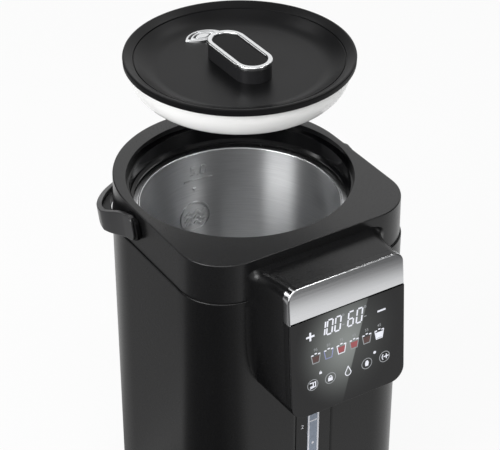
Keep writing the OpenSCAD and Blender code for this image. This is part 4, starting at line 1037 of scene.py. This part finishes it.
def padlock(bm, x, y, size, opened):
    patch(bm, [(x - 0.5 * size, y - 0.5 * size), (x + 0.5 * size, y - 0.5 * size),
               (x + 0.5 * size, y + 0.2 * size), (x - 0.5 * size, y + 0.2 * size)], WHITE)
    stroke(bm, arc_points(x, y + 0.25 * size, 0.32 * size, 60 if opened else 0, 180, 6),
           0.16 * size, WHITE)


bm = bmesh.new()
for figure, x in (("1", -27.6), ("0", -20.6), ("0", -12.9), ("6", -0.6), ("0", 7.6)):
    segment_figure(bm, figure, x)
for x, v in ((-4.6, 83.4), (16.4, 83.4)):
    ring(bm, x, v, 1.1, 0.5, DIM)
    stroke(bm, [(x - 0.8, v - 9), (x + 0.9, v - 9)], 0.8, DIM)

CUPS = ((-31, "95", BROWN, DIM), (-18.8, "85", None, BLUE), (-6.6, "75", RED, WHITE),
        (5.6, "65", RED, DIM), (17.8, "55", BROWN, DIM), (30, "45", WHITE, WHITE))
for x, label, drink, rim in CUPS:
    number(bm, label, 2.6, x, 60.6, DIM)
    for dot in (-3.2, 0, 3.2):
        high = 57.0 - abs(dot) * 0.3
        stroke(bm, [(x + dot - 0.6, high), (x + dot + 0.6, high)], 1.1, WHITE)
    stroke(bm, [(x - 4.3, 56), (x - 2.9, 48.2), (x + 2.9, 48.2), (x + 4.3, 56)], 0.75, rim)
    if drink is not None:
        patch(bm, [(x - 2.6, 49), (x + 2.6, 49), (x + 3.5, 54.4), (x - 3.5, 54.4)], drink)

padlock(bm, -26.8, 37.4, 2.4, True)
ring(bm, 25.4, 36.3, 1.3, 1.25, WHITE)
KEYS_V = 28.5
for x in (-34.5, -17.6, 17.7, 35.1):
    ring(bm, x, KEYS_V, 5.2, 0.65, DIM)
padlock(bm, -17.6, KEYS_V - 0.4, 4.4, False)
patch(bm, [(16.4, 26.2), (19.0, 26.2), (19.6, 29.2), (18.6, 31.4), (16.8, 31.2), (16.0, 29)],
      WHITE)
tip = [(-0.5, KEYS_V + 4.6)]
for points, width in (
        ([(-38.9, 74.5), (-32.5, 74.5)], 1.7), ([(-35.7, 71.3), (-35.7, 77.7)], 1.7),
        ([(28.9, 74.1), (35.5, 74.1)], 1.6),
        ([(-37, 30.6), (-34, 30.6), (-34, 27), (-36.6, 27)], 0.9),
        ([(-32.8, 30.6), (-31.8, 30.6), (-31.8, 26.4), (-36.8, 25.6)], 0.9),
        (tip + arc_points(-0.5, KEYS_V - 1.5, 2.7, 160, 380, 14) + tip, 0.75),
        (arc_points(36.4, KEYS_V, 3.6, 140, 220, 5), 0.7),
        ([(34.6, KEYS_V), (38.8, KEYS_V)], 0.9),
        ([(36.9, KEYS_V - 1.9), (36.9, KEYS_V + 1.9)], 0.9)):
    stroke(bm, points, width, WHITE)
thicken(bm, MASK_H)
move(bm, lifted(PANEL_PLANE, 0.02))
finish_piece(bm, "lit_symbols", LIT, "pot")

# ---- Spout nozzle ----
# A short black nozzle with a rounded lip screws into the housing's floor. It ends above the
# place where a cup stands.
SPOUT_Y = 137
NOZZLE_R = 7
NOZZLE_FOOT = 201
NOZZLE_TOP = 216.5
bm = bmesh.new()
turned(bm, [(3, NOZZLE_FOOT + 0.6), (3.6, NOZZLE_FOOT), (NOZZLE_R - 2.2, NOZZLE_FOOT),
            (NOZZLE_R - 1.4, NOZZLE_FOOT + 0.6), (NOZZLE_R - 1, NOZZLE_FOOT + 5),
            (NOZZLE_R, NOZZLE_FOOT + 6.5), (NOZZLE_R, NOZZLE_TOP), (NOZZLE_R + 3, NOZZLE_TOP),
            (NOZZLE_R + 3, NOZZLE_TOP + 2), (3.6, NOZZLE_TOP + 2), (3.6, NOZZLE_TOP + 14),
            (3, NOZZLE_TOP + 14)], 48, True, (0, -SPOUT_Y))
finish_piece(bm, "nozzle", [polished_abs], "pot", ["spout_nozzle"])

# ---- Lid underside ----
# The food-safe inner shell is moulded in white gloss plastic, with grey foam laid in it, and is
# screwed to the plate above.
LID_TOP = 454
RIM_R = 94
RIM_H = 6.2
BASE_R = 90.7
BASE_BOTTOM_R = 72.3
BASE_H = 25.6
BASE_WALL = 2.2

# Smooth and bright
white_gloss_plastic = grained(
    "white_gloss_plastic", "ebebea", (6, 0.01, 0.12, 0.22), ("e8e8e7", "efefee", 60))

bm = bmesh.new()
base_top = LID_TOP - RIM_H
outer = [(BASE_BOTTOM_R + (BASE_R - BASE_BOTTOM_R) * sin(radians(a)),
          base_top - BASE_H * cos(radians(a))) for a in range(0, 91, 6)]
inner = [(r - BASE_WALL, max(z, base_top - BASE_H + BASE_WALL)) for r, z in reversed(outer)]
turned(bm, [(0, base_top - BASE_H)] + outer + inner + [(0, base_top - BASE_H + BASE_WALL)],
       ROUND_STEPS)
finish_piece(bm, "lid_underside", [white_gloss_plastic], "lid", ["lid_base"])

# Pale grey sheet with fine cells
grained(
    "closed_cell_foam", "c6c6c6", (0.8, 0.15, 0.8, 0.95), ("bcbcbc", "cfcfcf", 4), "lid_foam",
    spec=0.2)

# ---- Lid plate ----
# The black plate has a raised rim, a thin groove inside it and a wide dish whose side runs out
# smoothly to the floor. It lifts straight off by its knob.
DISH_R = 85.4
DISH_FLOOR_R = 66
DISH_DEPTH = 12

# Satin black plate
lid_abs = grained(
    "lid_abs", "0f0f10", (0.8, 0.012, 0.3, 0.4), ("0e0e0f", "121213", 50), spec=0.16)

bm = bmesh.new()
dish = [(DISH_R - 0.7 - (DISH_R - 0.7 - DISH_FLOOR_R) * t / 12,
         LID_TOP - 3.9 - (DISH_DEPTH - 3.9) * sin(radians(7.5 * t)))
        for t in range(0, 13)]
turned(bm, [(0, LID_TOP - 14.4), (67.2, LID_TOP - 14.4), (79.4, LID_TOP - 9.8),
            (86.4, LID_TOP - RIM_H), (92.4, LID_TOP - RIM_H), (RIM_R - 0.2, LID_TOP - 5.4),
            (RIM_R, LID_TOP - 1.3), (RIM_R - 0.3, LID_TOP - 0.4), (RIM_R - 1, LID_TOP),
            (RIM_R - 2.2, LID_TOP - 0.1), (DISH_R + 0.5, LID_TOP - 3.4),
            (DISH_R + 0.2, LID_TOP - 4.5), (DISH_R - 0.4, LID_TOP - 4.6)]
       + dish + [(0, LID_TOP - DISH_DEPTH)], ROUND_STEPS)
finish_piece(bm, "lid_plate", [lid_abs], "lid", ["lid_top"])

# ---- Knob ----
# A black knob stands in the dish. A polished plated ring is pressed on its top, with a dark
# inlay inside it.
KNOB_L = 71.4
KNOB_W = 32.6
KNOB_FOOT = 442
RING_Z = 453.2
RING_TOP = 457.3
RING_W = 4.4
KNOB_STEPS = 15


def stadium(bm, inset, z):
    """The knob's outline at a height, with a hair of straight side left at each round end"""
    half = KNOB_W / 2 - inset
    turn = half - 0.005
    return rounded_loop(bm, half, inset - KNOB_L / 2, KNOB_L / 2 - inset, turn, turn,
                        KNOB_STEPS, KNOB_STEPS, Matrix.Translation((0, 0, z)))


bm = bmesh.new()
bridge(bm, [stadium(bm, 0.8, KNOB_FOOT), stadium(bm, 0.8, RING_Z),
            stadium(bm, RING_W + 0.2, RING_Z), stadium(bm, RING_W + 0.2, RING_TOP - 3.6)])
close_ends(bm)

# The moulding, a little lighter than the plate, with a satin side
knob_abs = grained(
    "knob_abs", "242425", (0.8, 0.01, 0.25, 0.35), ("222223", "28282a", 30), spec=0.4)
finish_piece(bm, "knob_body", [knob_abs], "lid", ["knob"], edge=0.5)

# Bright plated plastic
polished_chrome = grained(
    "polished_chrome", "e3e4e5", (3, 0.001, 0.2, 0.28), ("dedfe0", "e9eaeb", 20), Metallic=1.0)

bm = bmesh.new()
bridge(bm, [stadium(bm, 0, RING_Z), stadium(bm, 0, RING_TOP), stadium(bm, RING_W, RING_TOP),
            stadium(bm, RING_W, RING_Z)])
close_round(bm)
finish_piece(bm, "knob_trim_ring", [polished_chrome], "lid", ["knob_ring"],
             edge=1.2)

# Smooth dark inlay, duller than the ring round it
grained(
    "inlay_abs", "0a0a0b", (1, 0.006, 0.16, 0.24), ("09090a", "0d0d0e", 30), "knob_inlay",
    spec=0.06)

# ---- Steam vent ----
# A pointed oval of plated plastic beside the knob, with nested ribs over the steam slots.
# Loops that would share a height lie a thousandth of a mm apart, so that each is found alone.
VENT_HALF_L = 16.5
VENT_HALF_W = 9
VENT_Y = 58.5


def lens(bm, inset, z):
    """Edges of a pointed oval at a height"""
    length, width = VENT_HALF_L - inset * 1.8, VENT_HALF_W - inset
    radius = (length ** 2 + width ** 2) / (2 * width)
    turn = 2 * asin(length / radius)
    for side in (-1, 1):
        tip = bm.verts.new((side * length, VENT_Y, z))
        bmesh.ops.spin(bm, geom=[tip], cent=(0, VENT_Y - side * (radius - width), z),
                       axis=(0, 0, 1), angle=turn, steps=20)
    loop = [v for v in bm.verts if abs(v.co.z - z) < MERGE]
    bmesh.ops.remove_doubles(bm, verts=loop, dist=0.01)
    return [e for e in bm.edges if all(abs(v.co.z - z) < MERGE for v in e.verts)]


bm = bmesh.new()
heights = [(0, 0), (0.3, 1.3), (1.4, 1.301), (1.6, 0.3), (2.9, 0.301), (3.1, 1.1),
           (4.1, 1.101), (4.3, 0.302), (5.6, 0.303), (5.8, 1.102), (6.6, 1.103)]
bridge(bm, [lens(bm, inset, KNOB_FOOT + rise) for inset, rise in heights])
close_ends(bm)
for face in bm.faces:
    if 0.2 < face.calc_center_median().z - KNOB_FOOT < 0.5 and face.normal.z > 0.5:
        face.material_index = 1
finish_piece(bm, "vent_cover", [polished_chrome, polished_abs], "lid",
             ["steam_vent"])
